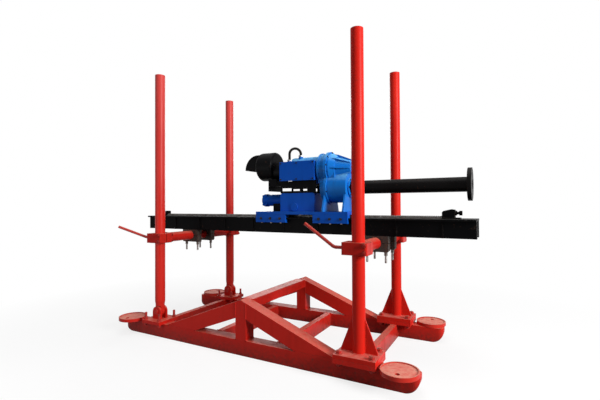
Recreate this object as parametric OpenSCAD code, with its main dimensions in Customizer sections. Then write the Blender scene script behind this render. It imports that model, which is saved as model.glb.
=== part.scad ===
// Column-mounted drill rig: a welded sled, four columns, a clamped feed rail and a driven carriage.
// Millimetres, +Z up, X along the rail towards the drill flange, origin on the floor under the rail's middle.

/* [Sled] */
// Distance between the two runner axes
track_w = 1000; // [900:10:1100]
// Distance between the front and the rear columns
column_span = 1915; // [1850:5:1980]
// Place of the sled's middle along X
sled_x = -60; // [-105:5:-25]
// Reach of a runner beyond the columns
nose_reach = 407.5; // [400:0.5:430]
// Height of the runner, brace and cross beam sections
sec_h = 120; // [110:1:130]
// Width of the runner, brace and post sections
sec_w = 106; // [96:1:112]
// Wall of the box sections
sec_t = 8; // [6:1:12]
// Radius of the runner's nose
tip_r = 100; // [60:5:105]
// Rounding of the nose, seen from above
nose_round = 46; // [10:1:47]
// Depth by which the nose's front is left blunt in plan
nose_flat = 2; // [1:0.5:6]
// Width of a cross beam
beam_w = 53; // [46:1:60]
// Wall of a cross beam
beam_t = 7; // [5:1:10]
// Place of the middle cross beams, from the sled's middle
mid_beam_x = 300; // [240:5:400]
// Height of the A-frame's peak
apex_z = 434; // [420:2:460]
// Slope of the braces
brace_deg = 21; // [19:0.5:22]
// Width of an A-frame post
post_w = 100; // [80:2:110]
// Height of the ridge beam's section
ridge_h = 75; // [60:1:90]

/* [Prop pans] */
// Outside diameter of a prop pan
pan_d = 244; // [220:2:250]
// Height of a prop pan
pan_h = 28; // [22:1:36]
// Width of the pan's rim
pan_rim = 9; // [6:1:20]
// Depth of the pan's recess
pan_recess = 6; // [4:1:14]
// Distance of a pan's edge from the runner's tip
pan_inset = -3; // [-10:1:2]
// Offset of a pan outwards from its runner's axis
pan_out = 65; // [40:5:75]
// Diameter of the pan's drain hole
pan_hole_d = 30; // [20:1:36]
// Distance of the drain hole from the pan's centre
pan_hole_out = 60; // [44:2:80]

/* [Columns] */
// Outside diameter of a column
column_d = 89; // [83:0.5:93]
// Wall of a column
column_t = 6; // [4:0.5:10]
// Height of the column tops
column_top = 2380; // [2330:10:2600]
// Length of a front seat plate along X
seat_l = 295; // [280:1:300]
// Width of a front seat plate along Y
seat_w = 230; // [215:1:250]
// Thickness of the front seat plate
seat_t = 32; // [24:1:40]
// Thickness of the front column's flange
flange_t = 28; // [20:1:34]
// Bolt place on the seat plate, along X from the column
seat_bolt_x = 115; // [105:1:120]
// Bolt place on the seat plate, along Y from the column
seat_bolt_y = 82; // [76:1:86]
// Height of a column gusset
gusset_h = 235; // [180:5:260]
// Thickness of a column gusset
gusset_t = 12; // [8:1:16]
// Diameter of the seat bolts
seat_bolt_d = 24; // [20:1:26]
// Diameter of the clevis studs
clevis_stud_d = 20; // [16:1:22]

/* [Rear clevis] */
// Side of the clevis base plate
clevis_l = 218; // [204:2:230]
// Thickness of the clevis base plate
clevis_t = 30; // [24:1:36]
// Thickness of a clevis ear
ear_t = 20; // [16:1:24]
// Width of a clevis ear
ear_w = 100; // [90:2:110]
// Height of the hinge pin
pin_z = 212; // [208:1:224]
// Diameter of the hinge pin
pin_d = 30; // [24:1:34]
// Thickness of the column's tongue
tongue_t = 40; // [32:1:44]
// Width of the column's tongue
tongue_w = 76; // [68:1:82]
// Length of the column's tapered neck
neck_l = 44; // [36:1:60]
// Height of a rear stud above its plate
rear_stud_h = 62; // [50:2:90]

/* [Cross tubes and clamps] */
// Height of the cross tube axes
tube_z = 882; // [880:1:884]
// Outside diameter of a cross tube
tube_d = 89; // [83:0.5:92]
// Wall of a cross tube
tube_t = 6; // [4:0.5:10]
// Height of a column clamp
clamp_h = 84; // [80:1:92]
// Reach of the clamp behind the column
clamp_back = 100; // [94:1:106]
// Reach of the clamp in front of the column
clamp_front = 82; // [80:1:90]
// Width of the clamp across the column
clamp_w = 144; // [136:2:150]
// Width of the clamp's slit
clamp_slit = 5; // [3:0.5:7]
// Diameter of the pinch bolts
pinch_d = 16; // [12:1:18]
// Pinch bolt place above and below the tube axis
pinch_dz = 27; // [24:1:28]

/* [Clamp handles] */
// Diameter of the handle rod and its screw
rod_d = 24; // [18:1:26]
// Straight length of the handle outside the clamp
handle_root = 60; // [45:1:75]
// Radius of the handle's bend
handle_bend_r = 60; // [50:1:80]
// Angle of the handle's bend
handle_bend = 35; // [25:1:45]
// Length of the handle's grip
grip_l = 262; // [220:2:280]
// Turn of the near front handle
turn_front_near = 0; // [-60:1:60]
// Turn of the far front handle
turn_front_far = -25; // [-60:1:60]
// Turn of the near rear handle
turn_rear_near = 52; // [-70:1:70]
// Turn of the far rear handle
turn_rear_far = 20; // [-60:1:60]

/* [Saddles] */
// Length of a saddle along X
saddle_l = 200; // [190:1:216]
// Width of a saddle along Y
saddle_w = 58; // [48:1:60]
// Depth of the saddle's yoke below the tube axis
yoke_h = 66; // [58:1:70]
// Chamfer of the yoke's lower corners
yoke_cut = 10; // [4:1:12]
// Stud place from the tube, along X
stud_x = 74; // [68:0.5:76]
// Diameter of a saddle stud
stud_d = 16; // [12:1:18]
// Length of a stud below the yoke
stud_hang = 84; // [60:1:96]

/* [Rail] */
// Length of the feed rail
rail_l = 3210; // [3190:10:3270]
// Height of the rail's underside
rail_z = 937; // [936:0.5:938]
// Height of a side channel
channel_h = 120; // [115:1:122]
// Width of a side channel
channel_w = 53; // [48:1:58]
// Wall of a side channel
channel_t = 7; // [5:0.5:9]
// Outer face of a side channel, from the rail's middle
web_y = 122; // [118:1:124]
// Width of the deck
deck_w = 300; // [296:1:310]
// Thickness of the deck
deck_t = 14; // [12:1:16]
// Distance between the rail's ribs
rib_pitch = 325; // [300:5:340]
// Number of ribs on a side
rib_n = 9; // [7:1:9]
// Shift of the rib row from the rail's middle
rib_shift = 80; // [40:5:100]
// Reach of a rib
rib_out = 8; // [4:1:9]
// Thickness of a rib
rib_t = 8; // [5:1:12]

/* [Feed rack] */
// Module of the rack and its pinion
rack_m = 5; // [4.5:0.1:5.2]
// Teeth of the feed pinion
pinion_teeth = 16; // [15:1:17]
// Width of the rack
rack_w = 50; // [40:1:56]
// Height of the rack over its teeth
rack_h = 21; // [19:0.5:22]
// Distance of the rack from the rail's rear end
rack_rear_gap = 145; // [110:5:190]
// Distance of the rack from the rail's front end
rack_front_gap = 236; // [234:2:290]

/* [Carriage] */
// Place of the carriage's middle along X
carr_x = 253; // [215:1:295]
// Length of the carriage
carr_l = 870; // [860:2:880]
// Width of the carriage over its skirts
carr_w = 332; // [330:1:348]
// Thickness of the carriage plate
carr_t = 24; // [20:1:26]
// Length of a skirt
skirt_l = 305; // [280:1:310]
// Reach of the skirts below the deck
skirt_drop = 29; // [24:1:32]

/* [Spindle and gears] */
// Height of the spindle axis above the carriage plate
spindle_rise = 199; // [190:1:210]
// Outside diameter of the spindle tube
spindle_d = 108; // [100:1:110]
// Diameter of the through bore
spindle_bore_d = 50; // [30:1:56]
// Front end of the spindle flange, from the carriage's middle
spindle_end = 1319; // [1200:1:1330]
// Diameter of the end flange
end_flange_d = 238; // [226:1:250]
// Thickness of the end flange
end_flange_t = 28; // [20:1:36]
// Bolt circle of the end flange
end_pcd = 195; // [180:1:200]
// Bolts of the end flange
end_bolts = 8; // [6:1:8]
// Diameter of the end flange's bolt holes
end_hole_d = 18; // [13:1:20]
// Diameter of the socket in the end flange
socket_d = 70; // [60:1:80]
// Depth of the socket
socket_h = 60; // [40:1:80]
// Module of the gear train
gear_m = 2.5; // [2.4:0.05:2.5]
// Teeth of the motor pinion
motor_pinion_teeth = 16; // [16:1:17]
// Teeth of the lay shaft's gear
lay_gear_teeth = 34; // [33:1:34]
// Teeth of the lay shaft's pinion
lay_pinion_teeth = 20; // [20:1:21]
// Teeth of the spindle gear
spindle_gear_teeth = 60; // [60:1:61]

/* [Drive layout] */
// Rear face of the gear case, from the carriage's middle
case_out = 149; // [140:1:156]
// Length of the gear case's rear half
case_l = 75; // [72:1:80]
// Step of the case's lower part ahead of its rear face
low_step = 28; // [10:1:28]
// Length of the gear case's front half
cover_l = 73; // [70:1:78]
// Length of the spindle housing
housing_l = 105; // [95:1:106]
// Length of the gear cover's nose
nose_l = 122; // [100:1:130]
// Length of the motor's front barrel
barrel_l = 269; // [255:1:280]
// Length of the motor's finned rear
finned_l = 198; // [190:1:206]
// Length of the fan cowl
cowl_l = 172; // [165:1:185]
// Lap of the fan cowl over the finned rear
cowl_lap = 15; // [12:1:17]
// Reach of the terminal box behind the barrel
box_lap = 85; // [75:1:92]
// Length of the feed gearbox
feed_l = 333; // [320:1:340]
// Gap between the feed gearbox and the gear case
feed_gap = 29; // [26:1:40]
// Length of the feed motor
feed_motor_l = 232; // [210:1:240]
// Feed pinion's place behind the carriage's middle
pinion_back = 73; // [66:1:80]

/* [Shafts and bearings] */
// Radius of the spindle's rear journal
journal_r = 34; // [32:0.5:35]
// Radius of the spindle's front journal
spindle_journal_r = 50; // [46:0.5:52]
// Outside radius of the rear spindle bearing
rear_bearing_r = 46; // [42:0.5:48]
// Outside radius of the front spindle bearings
front_bearing_r = 80; // [74:0.5:82]
// Radius of the lay shaft
lay_r = 15; // [13:0.5:16]
// Outside radius of the lay shaft's bearings
lay_bearing_r = 24; // [21:0.5:26]
// Radius of the rotor's shaft
rotor_r = 19; // [17:0.5:20]
// Outside radius of the motor bearings
motor_bearing_r = 36; // [32:0.5:40]
// Width of the first gear pair
stage_one_w = 24; // [22:0.5:25]
// Width of the second gear pair
stage_two_w = 32; // [28:0.5:34]

/* [Drive casings] */
// Radius of the gear case round the motor axis
case_r = 128; // [124:1:132]
// Reach of the gear case's bolted rim
case_rim = 14; // [13:1:16]
// Radius of the gear case round the spindle
drum_r = 125; // [118:1:126]
// Wall of the gear case
case_t = 10; // [8:0.5:12]
// Radius of the motor's front barrel
barrel_r = 111; // [106:1:114]
// Radius of the motor's finned rear
finned_r = 76; // [72:1:78]
// Radius of the fan cowl
cowl_r = 130; // [128:1:134]
// Height of the fan cowl above the motor axis
cowl_rise = 47; // [44:1:48]
// Radius of the air hood
hood_r = 137; // [125:1:142]
// Width of the air hood
hood_w = 160; // [140:2:170]
// Radius of the cowl's sleeve over the fins
sleeve_r = 86; // [83:1:88]
// Sheet thickness of the cowl and hood
sheet_t = 3; // [2:0.5:4]
// Length of the terminal box
box_l = 338; // [320:2:340]
// Height of the terminal box
box_h = 165; // [150:1:175]
// Front face of the terminal box, from the motor axis
box_y = 137; // [132:1:142]
// Diameter of the conduit between box and motor
lead_d = 22; // [16:1:24]
// Height of the open bracket between the feed gearbox and the motor
bracket_h = 62.5; // [56:0.5:70]
// Width of that bracket
bracket_w = 210; // [190:2:216]
// Half width of the feed gearbox
feed_y = 110; // [100:1:114]
// Radius of the feed motor
feed_motor_r = 53; // [48:1:54]

/* [Clearances] */
// Clearance of a turning fit, on the radius
turn_fit = 0.08; // [0.04:0.01:0.1]
// Clearance of a clamp on its column, on the radius
slide_fit = 0.3; // [0.3:0.05:0.5]
// Gap between the carriage and the deck
run_gap = 0.5; // [0.4:0.1:1]
// Gap between the rear saddles and the rail
saddle_gap = 0.6; // [0.5:0.1:0.8]
// Clearance of a bolt in its hole, on the radius
bolt_fit = 0.5; // [0.3:0.1:1]
// Clearance of a pressed fit, on the radius
press_gap = 0.04; // [0.02:0.01:0.1]
// Backlash of the gears
backlash = 0.35; // [0.25:0.05:0.5]

/* [Hidden] */
$fn = 64;
red = "firebrick";
blue = "royalblue";
black = "#202020";
steel = "silver";

column_r = column_d / 2;
seat_top = sec_h + seat_t;
column_foot = seat_top + flange_t;
front_x = sled_x + column_span / 2;
rear_x = sled_x - column_span / 2;
side_y = track_w / 2;
inner_y = side_y - sec_w / 2;
runner_l = column_span + 2 * nose_reach;
pan_x = runner_l / 2 - pan_inset - pan_d / 2;
brace_drop = sec_h / cos(brace_deg);
brace_end = column_span / 2 - seat_l / 2 - 15;
neck_foot = pin_z + ear_w / 2 + 4;
neck_top = neck_foot + neck_l;

tube_r = tube_d / 2;
clamp_y = side_y - clamp_w / 2;
pinch_x = (column_r + clamp_front) / 2;
deck_z = rail_z + channel_h;
deck_top = deck_z + deck_t;
channel_mid = web_y - channel_w / 2;
yoke_bottom = tube_z - yoke_h;

rack_pitch = PI * rack_m;
rack_rear = rack_rear_gap - rail_l / 2;
rack_front = rail_l / 2 - rack_front_gap;
rack_top = deck_top + rack_h;
pinion_r = rack_m * pinion_teeth / 2;
pinion_x = carr_x - pinion_back;
pinion_z = rack_top - rack_m + pinion_r;
pinion_shaft_r = 15;
plate_z = rack_top + 5;
plate_top = plate_z + carr_t;
spindle_z = plate_top + spindle_rise;
skirt_y = carr_w / 2;
skirt_in = deck_w / 2 + 1;
skirt_bolt_pitch = skirt_l * 0.315;
skirt_bolt_d = 14;
skirt_bolt_z = (plate_z + deck_z - skirt_drop) / 2;

lay_z = spindle_z + gear_m * (lay_pinion_teeth + spindle_gear_teeth) / 2;
motor_z = lay_z + gear_m * (motor_pinion_teeth + lay_gear_teeth) / 2;
cowl_z = motor_z + cowl_rise;
case_x = carr_x + case_out;
low_x = case_x + low_step;
split_x = case_x + case_l;
cover_x = split_x + cover_l;
housing_x = cover_x + housing_l;
barrel_x = case_x - barrel_l;
finned_x = barrel_x - finned_l;
cowl_x1 = finned_x + cowl_lap;
cowl_x0 = cowl_x1 - cowl_l;
fin_h = 9;
cowl_roll = 26;
foot_t = 14;
rim_t = 12;
case_waist = drum_r * 0.77;
stud_at = clevis_l / 2 - 24;
casing_bolt_d = 8;
cap_bolt_n = 6;
cap_bolt_r = 71;
cap_l = 12;
bearing_l = 20;
stator_r = barrel_r * 0.56;
stage_one_x = case_x + case_t + 1;
stage_two_x = stage_one_x + stage_one_w + 4;
box_x = barrel_x - box_lap;
box_z = motor_z - 97;
shelf_z = box_z - 43;
shelf_t = 15;
bracket_t = 16;
motor_foot_y = bracket_w / 2 - bracket_t - 3;
feed_x1 = case_x - feed_gap;
feed_x0 = feed_x1 - feed_l;
feed_top = shelf_z - bracket_h;
feed_h = feed_top - plate_top;
feed_motor_z = plate_top + 101;
feed_foot_w = 88;
lead_r = lead_d / 2;
lead_a = [barrel_x - 3, 37 - box_y];
lead_b = [barrel_x + 79, -45];
lead_z = box_z + box_h + 70;

// Shared shapes

// Rod along +X from the origin
module rod_x(l, r) {
    rotate([0, 90, 0]) cylinder(h = l, r = r);
}

// Ring along +X from the origin
module ring_x(l, r_out, r_in) {
    difference() {
        rod_x(l, r_out);
        translate([-1, 0, 0]) rod_x(l + 2, r_in);
    }
}

// Rod along Y, centred on the origin
module rod_y(l, r) {
    rotate([90, 0, 0]) cylinder(h = l, r = r, center = true);
}

// Outline drawn in YZ and run along +X
module run_x(l) {
    rotate([90, 0, 90]) linear_extrude(l) children();
}

// Outline drawn in XZ and run along Y, centred
module run_y(l) {
    rotate([90, 0, 0]) linear_extrude(l, center = true) children();
}

module rounded_rect(l, w, r) {
    square([l - 2 * r, w], center = true);
    square([l, w - 2 * r], center = true);
    for (sx = [-1, 1], sy = [-1, 1])
        translate([sx * (l / 2 - r), sy * (w / 2 - r)]) circle(r);
}

// Hexagon prism along +Z, given across its flats
module hex(flats, h) {
    cylinder(h = h, r = flats / 2 / cos(30), $fn = 6);
}

// The same shape on both sides of the middle plane
module both_sides() {
    children();
    mirror([0, 1, 0]) children();
}

// Closed box with its base on the XY plane
module hollow_box(size, t) {
    difference() {
        translate([-size.x / 2, -size.y / 2, 0]) cube(size);
        translate([t - size.x / 2, t - size.y / 2, t]) cube(size - [2 * t, 2 * t, 2 * t]);
    }
}

// Involute flank: half of a tooth's angle at radius r
function roll(r, base) = r > base ? sqrt(pow(r / base, 2) - 1) : 0;
function flank(r, base) = roll(r, base) * 180 / PI - atan(roll(r, base));
function tooth_half(m, n, r) =
    90 / n - backlash * 90 / PI / (m * n / 2) + flank(m * n / 2, m * n / 2 * cos(20))
    - flank(r, m * n / 2 * cos(20));
function polar(r, a) = [r * cos(a), r * sin(a)];

// Spur gear outline with a tooth at angle 0
module gear_outline(m, n) {
    root = m * (n / 2 - 1.25);
    tip = m * (n / 2 + 1);
    steps = 4;
    polygon([for (i = [0 : n - 1]) each concat(
        [for (k = [0 : steps]) let (r = root + (tip - root) * k / steps)
            polar(r, i * 360 / n - tooth_half(m, n, r))],
        [for (k = [steps : -1 : 0]) let (r = root + (tip - root) * k / steps)
            polar(r, i * 360 / n + tooth_half(m, n, r))]
    )]);
}

// Sled

module runner(side) {
    color(red) translate([sled_x, side * side_y, 0]) difference() {
        intersection() {
            linear_extrude(sec_h) rounded_rect(runner_l + 2 * nose_flat, sec_w, nose_round);
            run_y(sec_w) union() {
                translate([tip_r - runner_l / 2, 0]) square([runner_l - 2 * tip_r, sec_h]);
                translate([-runner_l / 2, tip_r]) square([runner_l, sec_h]);
                for (s = [-1, 1]) translate([s * (runner_l / 2 - tip_r), tip_r]) circle(tip_r);
            }
        }
        translate([tip_r - runner_l / 2, sec_t - sec_w / 2, sec_t])
            cube([runner_l - 2 * tip_r, sec_w - 2 * sec_t, sec_h - 2 * sec_t]);
    }
}

function brace_z(x) = apex_z - x * tan(brace_deg);

module post(side) {
    color(red) translate([sled_x, side * side_y, 0]) run_y(sec_w) polygon([
        [-post_w / 2, sec_h], [post_w / 2, sec_h], [post_w / 2, brace_z(post_w / 2)],
        [0, apex_z], [-post_w / 2, brace_z(post_w / 2)]
    ]);
}

module brace(end, side) {
    color(red) translate([sled_x, side * side_y, 0]) mirror([end < 0 ? 1 : 0, 0, 0]) run_y(sec_w) polygon([
        [post_w / 2, brace_z(post_w / 2)], [brace_end, max(brace_z(brace_end), sec_h + 3)],
        [brace_end, sec_h], [(apex_z - brace_drop - sec_h) / tan(brace_deg), sec_h],
        [post_w / 2, brace_z(post_w / 2) - brace_drop]
    ]);
}

module ridge_beam() {
    color(red) translate([sled_x, 0, brace_z(post_w / 4) - ridge_h])
        hollow_box([post_w, 2 * inner_y, ridge_h], sec_t);
}

// Channel between the runners, its web towards +X
module cross_beam(x) {
    color(red) translate([sled_x + x - beam_w / 2, 0, 0]) run_y(2 * inner_y) difference() {
        square([beam_w, sec_h]);
        translate([-beam_t, beam_t]) square([beam_w, sec_h - 2 * beam_t]);
    }
}

module middle_beams() {
    for (s = [-1, 1]) cross_beam(s * mid_beam_x);
}

module prop_pans() {
    color(red) both_sides() for (s = [-1, 1])
        translate([sled_x + s * pan_x, side_y + pan_out, sec_h]) difference() {
            cylinder(h = pan_h, d = pan_d);
            translate([0, 0, pan_h - pan_recess]) cylinder(h = pan_recess + 1, d = pan_d - 2 * pan_rim);
            translate([0, pan_hole_out, -1]) cylinder(h = pan_h, d = pan_hole_d);
        }
}

module seat_holes(x, y, h, d) {
    for (sx = [-1, 1], sy = [-1, 1]) translate([sx * x, sy * y, -1])
        cylinder(h = h + 2, r = d / 2 + bolt_fit);
}

module front_seats() {
    color(red) both_sides() translate([front_x, side_y, sec_h]) difference() {
        translate([-seat_l / 2, -seat_w / 2, 0]) cube([seat_l, seat_w, seat_t]);
        seat_holes(seat_bolt_x, seat_bolt_y, seat_t, seat_bolt_d);
    }
}

module tube_wall(h) {
    difference() {
        cylinder(h = h, r = column_r);
        translate([0, 0, -1]) cylinder(h = h - column_t + 1, r = column_r - column_t);
    }
}

module column_front(side) {
    gusset_foot = seat_l / 2 - 18;
    color(red) translate([front_x, side * side_y, seat_top]) {
        difference() {
            translate([-seat_l / 2, -seat_w / 2, 0]) cube([seat_l, seat_w, flange_t]);
            seat_holes(seat_bolt_x, seat_bolt_y, flange_t, seat_bolt_d);
        }
        translate([0, 0, flange_t]) tube_wall(column_top - column_foot);
        difference() {
            translate([0, 0, flange_t]) run_y(gusset_t) polygon([
                [-gusset_foot, 0], [gusset_foot, 0], [gusset_foot, 14], [column_r - 2, gusset_h],
                [2 - column_r, gusset_h], [-gusset_foot, 14]
            ]);
            translate([0, 0, flange_t - 1]) cylinder(h = gusset_h + 2, r = column_r - column_t / 2);
        }
    }
}

module ear_outline() {
    translate([-ear_w / 2, 0]) square([ear_w, pin_z - sec_h - clevis_t]);
    translate([0, pin_z - sec_h - clevis_t]) circle(ear_w / 2);
}

module rear_clevises() {
    ear_y = tongue_t / 2 + 1 + ear_t / 2;
    color(red) both_sides() translate([rear_x, side_y, sec_h]) difference() {
        union() {
            translate([-clevis_l / 2, -clevis_l / 2, 0]) cube([clevis_l, clevis_l, clevis_t]);
            for (s = [-1, 1]) translate([0, s * ear_y, clevis_t]) run_y(ear_t) ear_outline();
        }
        translate([0, 0, pin_z - sec_h]) rod_y(clevis_l, pin_d / 2 + turn_fit);
        seat_holes(stud_at, stud_at, clevis_t, clevis_stud_d);
    }
}

module column_rear(side) {
    color(red) translate([rear_x, side * side_y, 0]) difference() {
        union() {
            translate([0, 0, neck_top]) tube_wall(column_top - neck_top);
            translate([0, 0, neck_foot]) cylinder(h = neck_top - neck_foot, r1 = tongue_w / 2, r2 = column_r);
            translate([0, 0, pin_z]) {
                rod_y(tongue_t, tongue_w / 2);
                translate([-tongue_w / 2, -tongue_t / 2, 0])
                    cube([tongue_w, tongue_t, neck_foot - pin_z + 6]);
            }
        }
        translate([0, 0, pin_z]) rod_y(tongue_t + 2, pin_d / 2 + turn_fit);
    }
}

module clevis_pins() {
    pin_l = tongue_t + 2 * ear_t + 30;
    head_t = 8;
    color(steel) both_sides() translate([rear_x, side_y, pin_z]) {
        rod_y(pin_l, pin_d / 2);
        for (s = [-1, 1]) translate([0, s * (tongue_t / 2 + ear_t + 2 + head_t / 2), 0])
            rod_y(head_t, pin_d * 0.75);
    }
}

// Bolt through a base plate: head or nut on top, nut below
module base_bolt(d, bottom, top, rise) {
    nut_h = d * 0.8;
    flats = d * 1.5;
    translate([0, 0, bottom - nut_h - 6]) cylinder(h = top - bottom + nut_h + 6 + rise, d = d);
    translate([0, 0, bottom - nut_h]) hex(flats, nut_h);
    translate([0, 0, top]) hex(flats, nut_h);
}

module base_bolts() {
    color(steel) both_sides() for (sx = [-1, 1], sy = [-1, 1]) {
        translate([front_x + sx * seat_bolt_x, side_y + sy * seat_bolt_y, 0])
            base_bolt(seat_bolt_d, sec_h, column_foot, seat_bolt_d);
        translate([rear_x + sx * stud_at, side_y + sy * stud_at, 0])
            base_bolt(clevis_stud_d, sec_h, sec_h + clevis_t, rear_stud_h);
    }
}

// Cross tubes, clamps and handles

module cross_tube(x) {
    color(red) translate([x, 0, tube_z]) difference() {
        rod_y(2 * clamp_y, tube_r);
        rod_y(2 * clamp_y + 2, tube_r - tube_t);
    }
}

module clamps(x) {
    boss_l = 16;
    color(red) both_sides() translate([x, side_y, tube_z]) difference() {
        union() {
            translate([0, 0, -clamp_h / 2]) linear_extrude(clamp_h)
                translate([(clamp_front - clamp_back) / 2, 0])
                    rounded_rect(clamp_back + clamp_front, clamp_w, 16);
            translate([-clamp_back - boss_l, 0, 0]) rod_x(boss_l + 1, rod_d);
        }
        cylinder(h = clamp_h + 2, r = column_r + slide_fit, center = true);
        translate([0, -clamp_slit / 2, -clamp_h]) cube([clamp_front + 1, clamp_slit, 2 * clamp_h]);
        translate([-clamp_back - boss_l - 1, 0, 0]) rod_x(clamp_back, rod_d / 2 + turn_fit);
        for (s = [-1, 1]) translate([pinch_x, 0, s * pinch_dz]) rod_y(clamp_w + 2, pinch_d / 2 + bolt_fit);
    }
}

module clamp_bolts(x) {
    nut_h = pinch_d * 0.8;
    color(steel) both_sides() for (s = [-1, 1]) translate([x + pinch_x, side_y, tube_z + s * pinch_dz]) {
        rod_y(clamp_w + 2 * nut_h + 8, pinch_d / 2);
        for (t = [0, 180]) rotate([90, 0, t]) translate([0, 0, clamp_w / 2]) hex(pinch_d * 1.5, nut_h);
    }
}

// Screw and bent lever of a clamp, turned about its own screw; the bend is a little thicker than the rod
module handle(x, side, turn) {
    screw_end = column_r + 1.5;
    swell = 0.6;
    lap = 3;
    bend_x = -clamp_back - handle_root;
    color(red) translate([x, side * side_y, tube_z]) rotate([turn, 0, 0]) {
        translate([bend_x - lap, 0, 0]) rod_x(-bend_x + lap - screw_end, rod_d / 2);
        translate([bend_x, 0, handle_bend_r]) rotate([90, 0, 0])
            rotate([0, 0, -90 - handle_bend]) rotate_extrude(angle = handle_bend)
                translate([handle_bend_r, 0]) circle(rod_d / 2 + swell);
        translate([bend_x - handle_bend_r * sin(handle_bend), 0, handle_bend_r * (1 - cos(handle_bend))])
            rotate([0, handle_bend - 90, 0]) translate([0, 0, -lap])
                cylinder(h = grip_l + lap, r = rod_d / 2);
    }
}

// Saddles between the cross tubes and the rail

module saddle_pair(x, gap) {
    split = 2;
    color("dimgray") both_sides() translate([x, channel_mid, tube_z]) difference() {
        union() {
            translate([-saddle_l / 2, -saddle_w / 2, split])
                cube([saddle_l, saddle_w, rail_z - gap - tube_z - split]);
            run_y(saddle_w) polygon([
                [-saddle_l / 2, -split], [-saddle_l / 2, yoke_cut - yoke_h],
                [yoke_cut - saddle_l / 2, -yoke_h], [saddle_l / 2 - yoke_cut, -yoke_h],
                [saddle_l / 2, yoke_cut - yoke_h], [saddle_l / 2, -split]
            ]);
        }
        rod_y(saddle_w + 2, tube_r + turn_fit);
        for (s = [-1, 1]) translate([s * stud_x, 0, -saddle_l / 2])
            cylinder(h = saddle_l, r = stud_d / 2 + bolt_fit);
    }
}

module saddle_studs(x, gap) {
    nut_h = stud_d * 0.8;
    color("dimgray") both_sides() for (s = [-1, 1]) translate([x + s * stud_x, channel_mid, 0]) {
        translate([0, 0, yoke_bottom - stud_hang])
            cylinder(h = rail_z - gap - yoke_bottom + stud_hang, d = stud_d);
        for (k = [1, 2.2]) translate([0, 0, yoke_bottom - k * nut_h]) hex(stud_d * 1.5, nut_h);
    }
}

// Feed rail

module rail_side(side) {
    cap_t = 8;
    color(black) mirror([0, side < 0 ? 1 : 0, 0]) translate([-rail_l / 2, web_y - channel_w, rail_z]) {
        run_x(rail_l) difference() {
            square([channel_w, channel_h]);
            translate([-channel_t, channel_t]) square([channel_w, channel_h - 2 * channel_t]);
        }
        for (x = [0, rail_l - cap_t]) translate([x, 0, 0]) cube([cap_t, channel_w, channel_h]);
        for (i = [0 : rib_n - 1])
            translate([rail_l / 2 + (i - (rib_n - 1) / 2) * rib_pitch + rib_shift, channel_w - 1, 0])
                cube([rib_t, rib_out + 1, channel_h]);
    }
}

module rail_deck() {
    color(black) translate([-rail_l / 2, -deck_w / 2, deck_z]) cube([rail_l, deck_w, deck_t]);
}

module feed_rack() {
    first = ceil((rack_rear - pinion_x) / rack_pitch + 0.5);
    last = floor((rack_front - pinion_x) / rack_pitch - 0.5);
    half = rack_pitch / 4 - backlash / 2;
    tip = half - rack_m * tan(20);
    root = half + 1.25 * rack_m * tan(20);
    root_z = rack_h - 2.25 * rack_m;
    color("gray") translate([pinion_x, 0, deck_top]) run_y(rack_w) polygon(concat(
        [[rack_front - pinion_x, root_z], [rack_front - pinion_x, 0]],
        [[rack_rear - pinion_x, 0], [rack_rear - pinion_x, root_z]],
        [for (k = [first : last]) each [
            [k * rack_pitch - root, root_z], [k * rack_pitch - tip, rack_h],
            [k * rack_pitch + tip, rack_h], [k * rack_pitch + root, root_z]
        ]]
    ));
}

module rear_stop() {
    stop_l = 34;
    stop_w = 70;
    color(black) translate([rack_rear - stop_l, 0, deck_top]) run_y(stop_w) polygon([
        [0, 0], [stop_l, 0], [stop_l, 48], [stop_l - 10, 52], [8, 52], [0, 40]
    ]);
}

// Block that holds the rack's front end and stops the carriage, with its set screw
module front_stop() {
    block_l = 88;
    block_w = 66;
    base_l = 124;
    base_w = 96;
    base_t = 9;
    screw_r = 10;
    screw_z = 42;
    color(black) translate([rack_front, 0, deck_top]) {
        translate([0, -base_w / 2, 0]) cube([base_l, base_w, base_t]);
        translate([0, 0, base_t - 1]) run_y(block_w) polygon([
            [0, 0], [block_l, 0], [block_l, 58], [block_l * 0.7, 62], [10, 50], [0, 40]
        ]);
        translate([block_l - 1, 0, screw_z]) {
            rod_x(30, screw_r);
            rotate([0, 90, 0]) hex(3 * screw_r, 13);
            translate([28, 0, 0]) rod_x(20, 1.7 * screw_r);
        }
    }
}

// Carriage

module carriage_plate() {
    color(blue) difference() {
        translate([carr_x - carr_l / 2, -skirt_y, plate_z]) cube([carr_l, carr_w, carr_t]);
        translate([pinion_x - pinion_r - 12, -rack_w / 2 - 8, plate_z - 1])
            cube([2 * pinion_r + 24, rack_w + 16, carr_t + 2]);
        translate([pinion_x, 0, pinion_z]) rod_y(2 * feed_y - 20, pinion_shaft_r + 1);
    }
}

function skirt_mid(s) = carr_x + s * (carr_l - skirt_l) / 2;

module carriage_skirts() {
    shoe_y = 112;
    keeper_y = web_y + rib_out + 3;
    bottom = deck_z - skirt_drop;
    color(blue) both_sides() for (s = [-1, 1]) difference() {
        translate([skirt_mid(s) - skirt_l / 2, 0, 0]) run_x(skirt_l) polygon([
            [skirt_y, bottom], [skirt_y, plate_z], [shoe_y, plate_z], [shoe_y, deck_top + run_gap],
            [skirt_in, deck_top + run_gap], [skirt_in, deck_z - run_gap],
            [keeper_y, deck_z - run_gap], [keeper_y, bottom]
        ]);
        for (k = [-1 : 1]) translate([skirt_mid(s) + k * skirt_bolt_pitch, skirt_y, skirt_bolt_z])
            rod_y(20, skirt_bolt_d / 2 + bolt_fit);
    }
}

// Bolt with its head on the XY plane and its shank below
module short_bolt(d, shank) {
    translate([0, 0, -shank]) cylinder(h = shank, d = d);
    hex(d * 1.5, d * 0.65);
}

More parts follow.
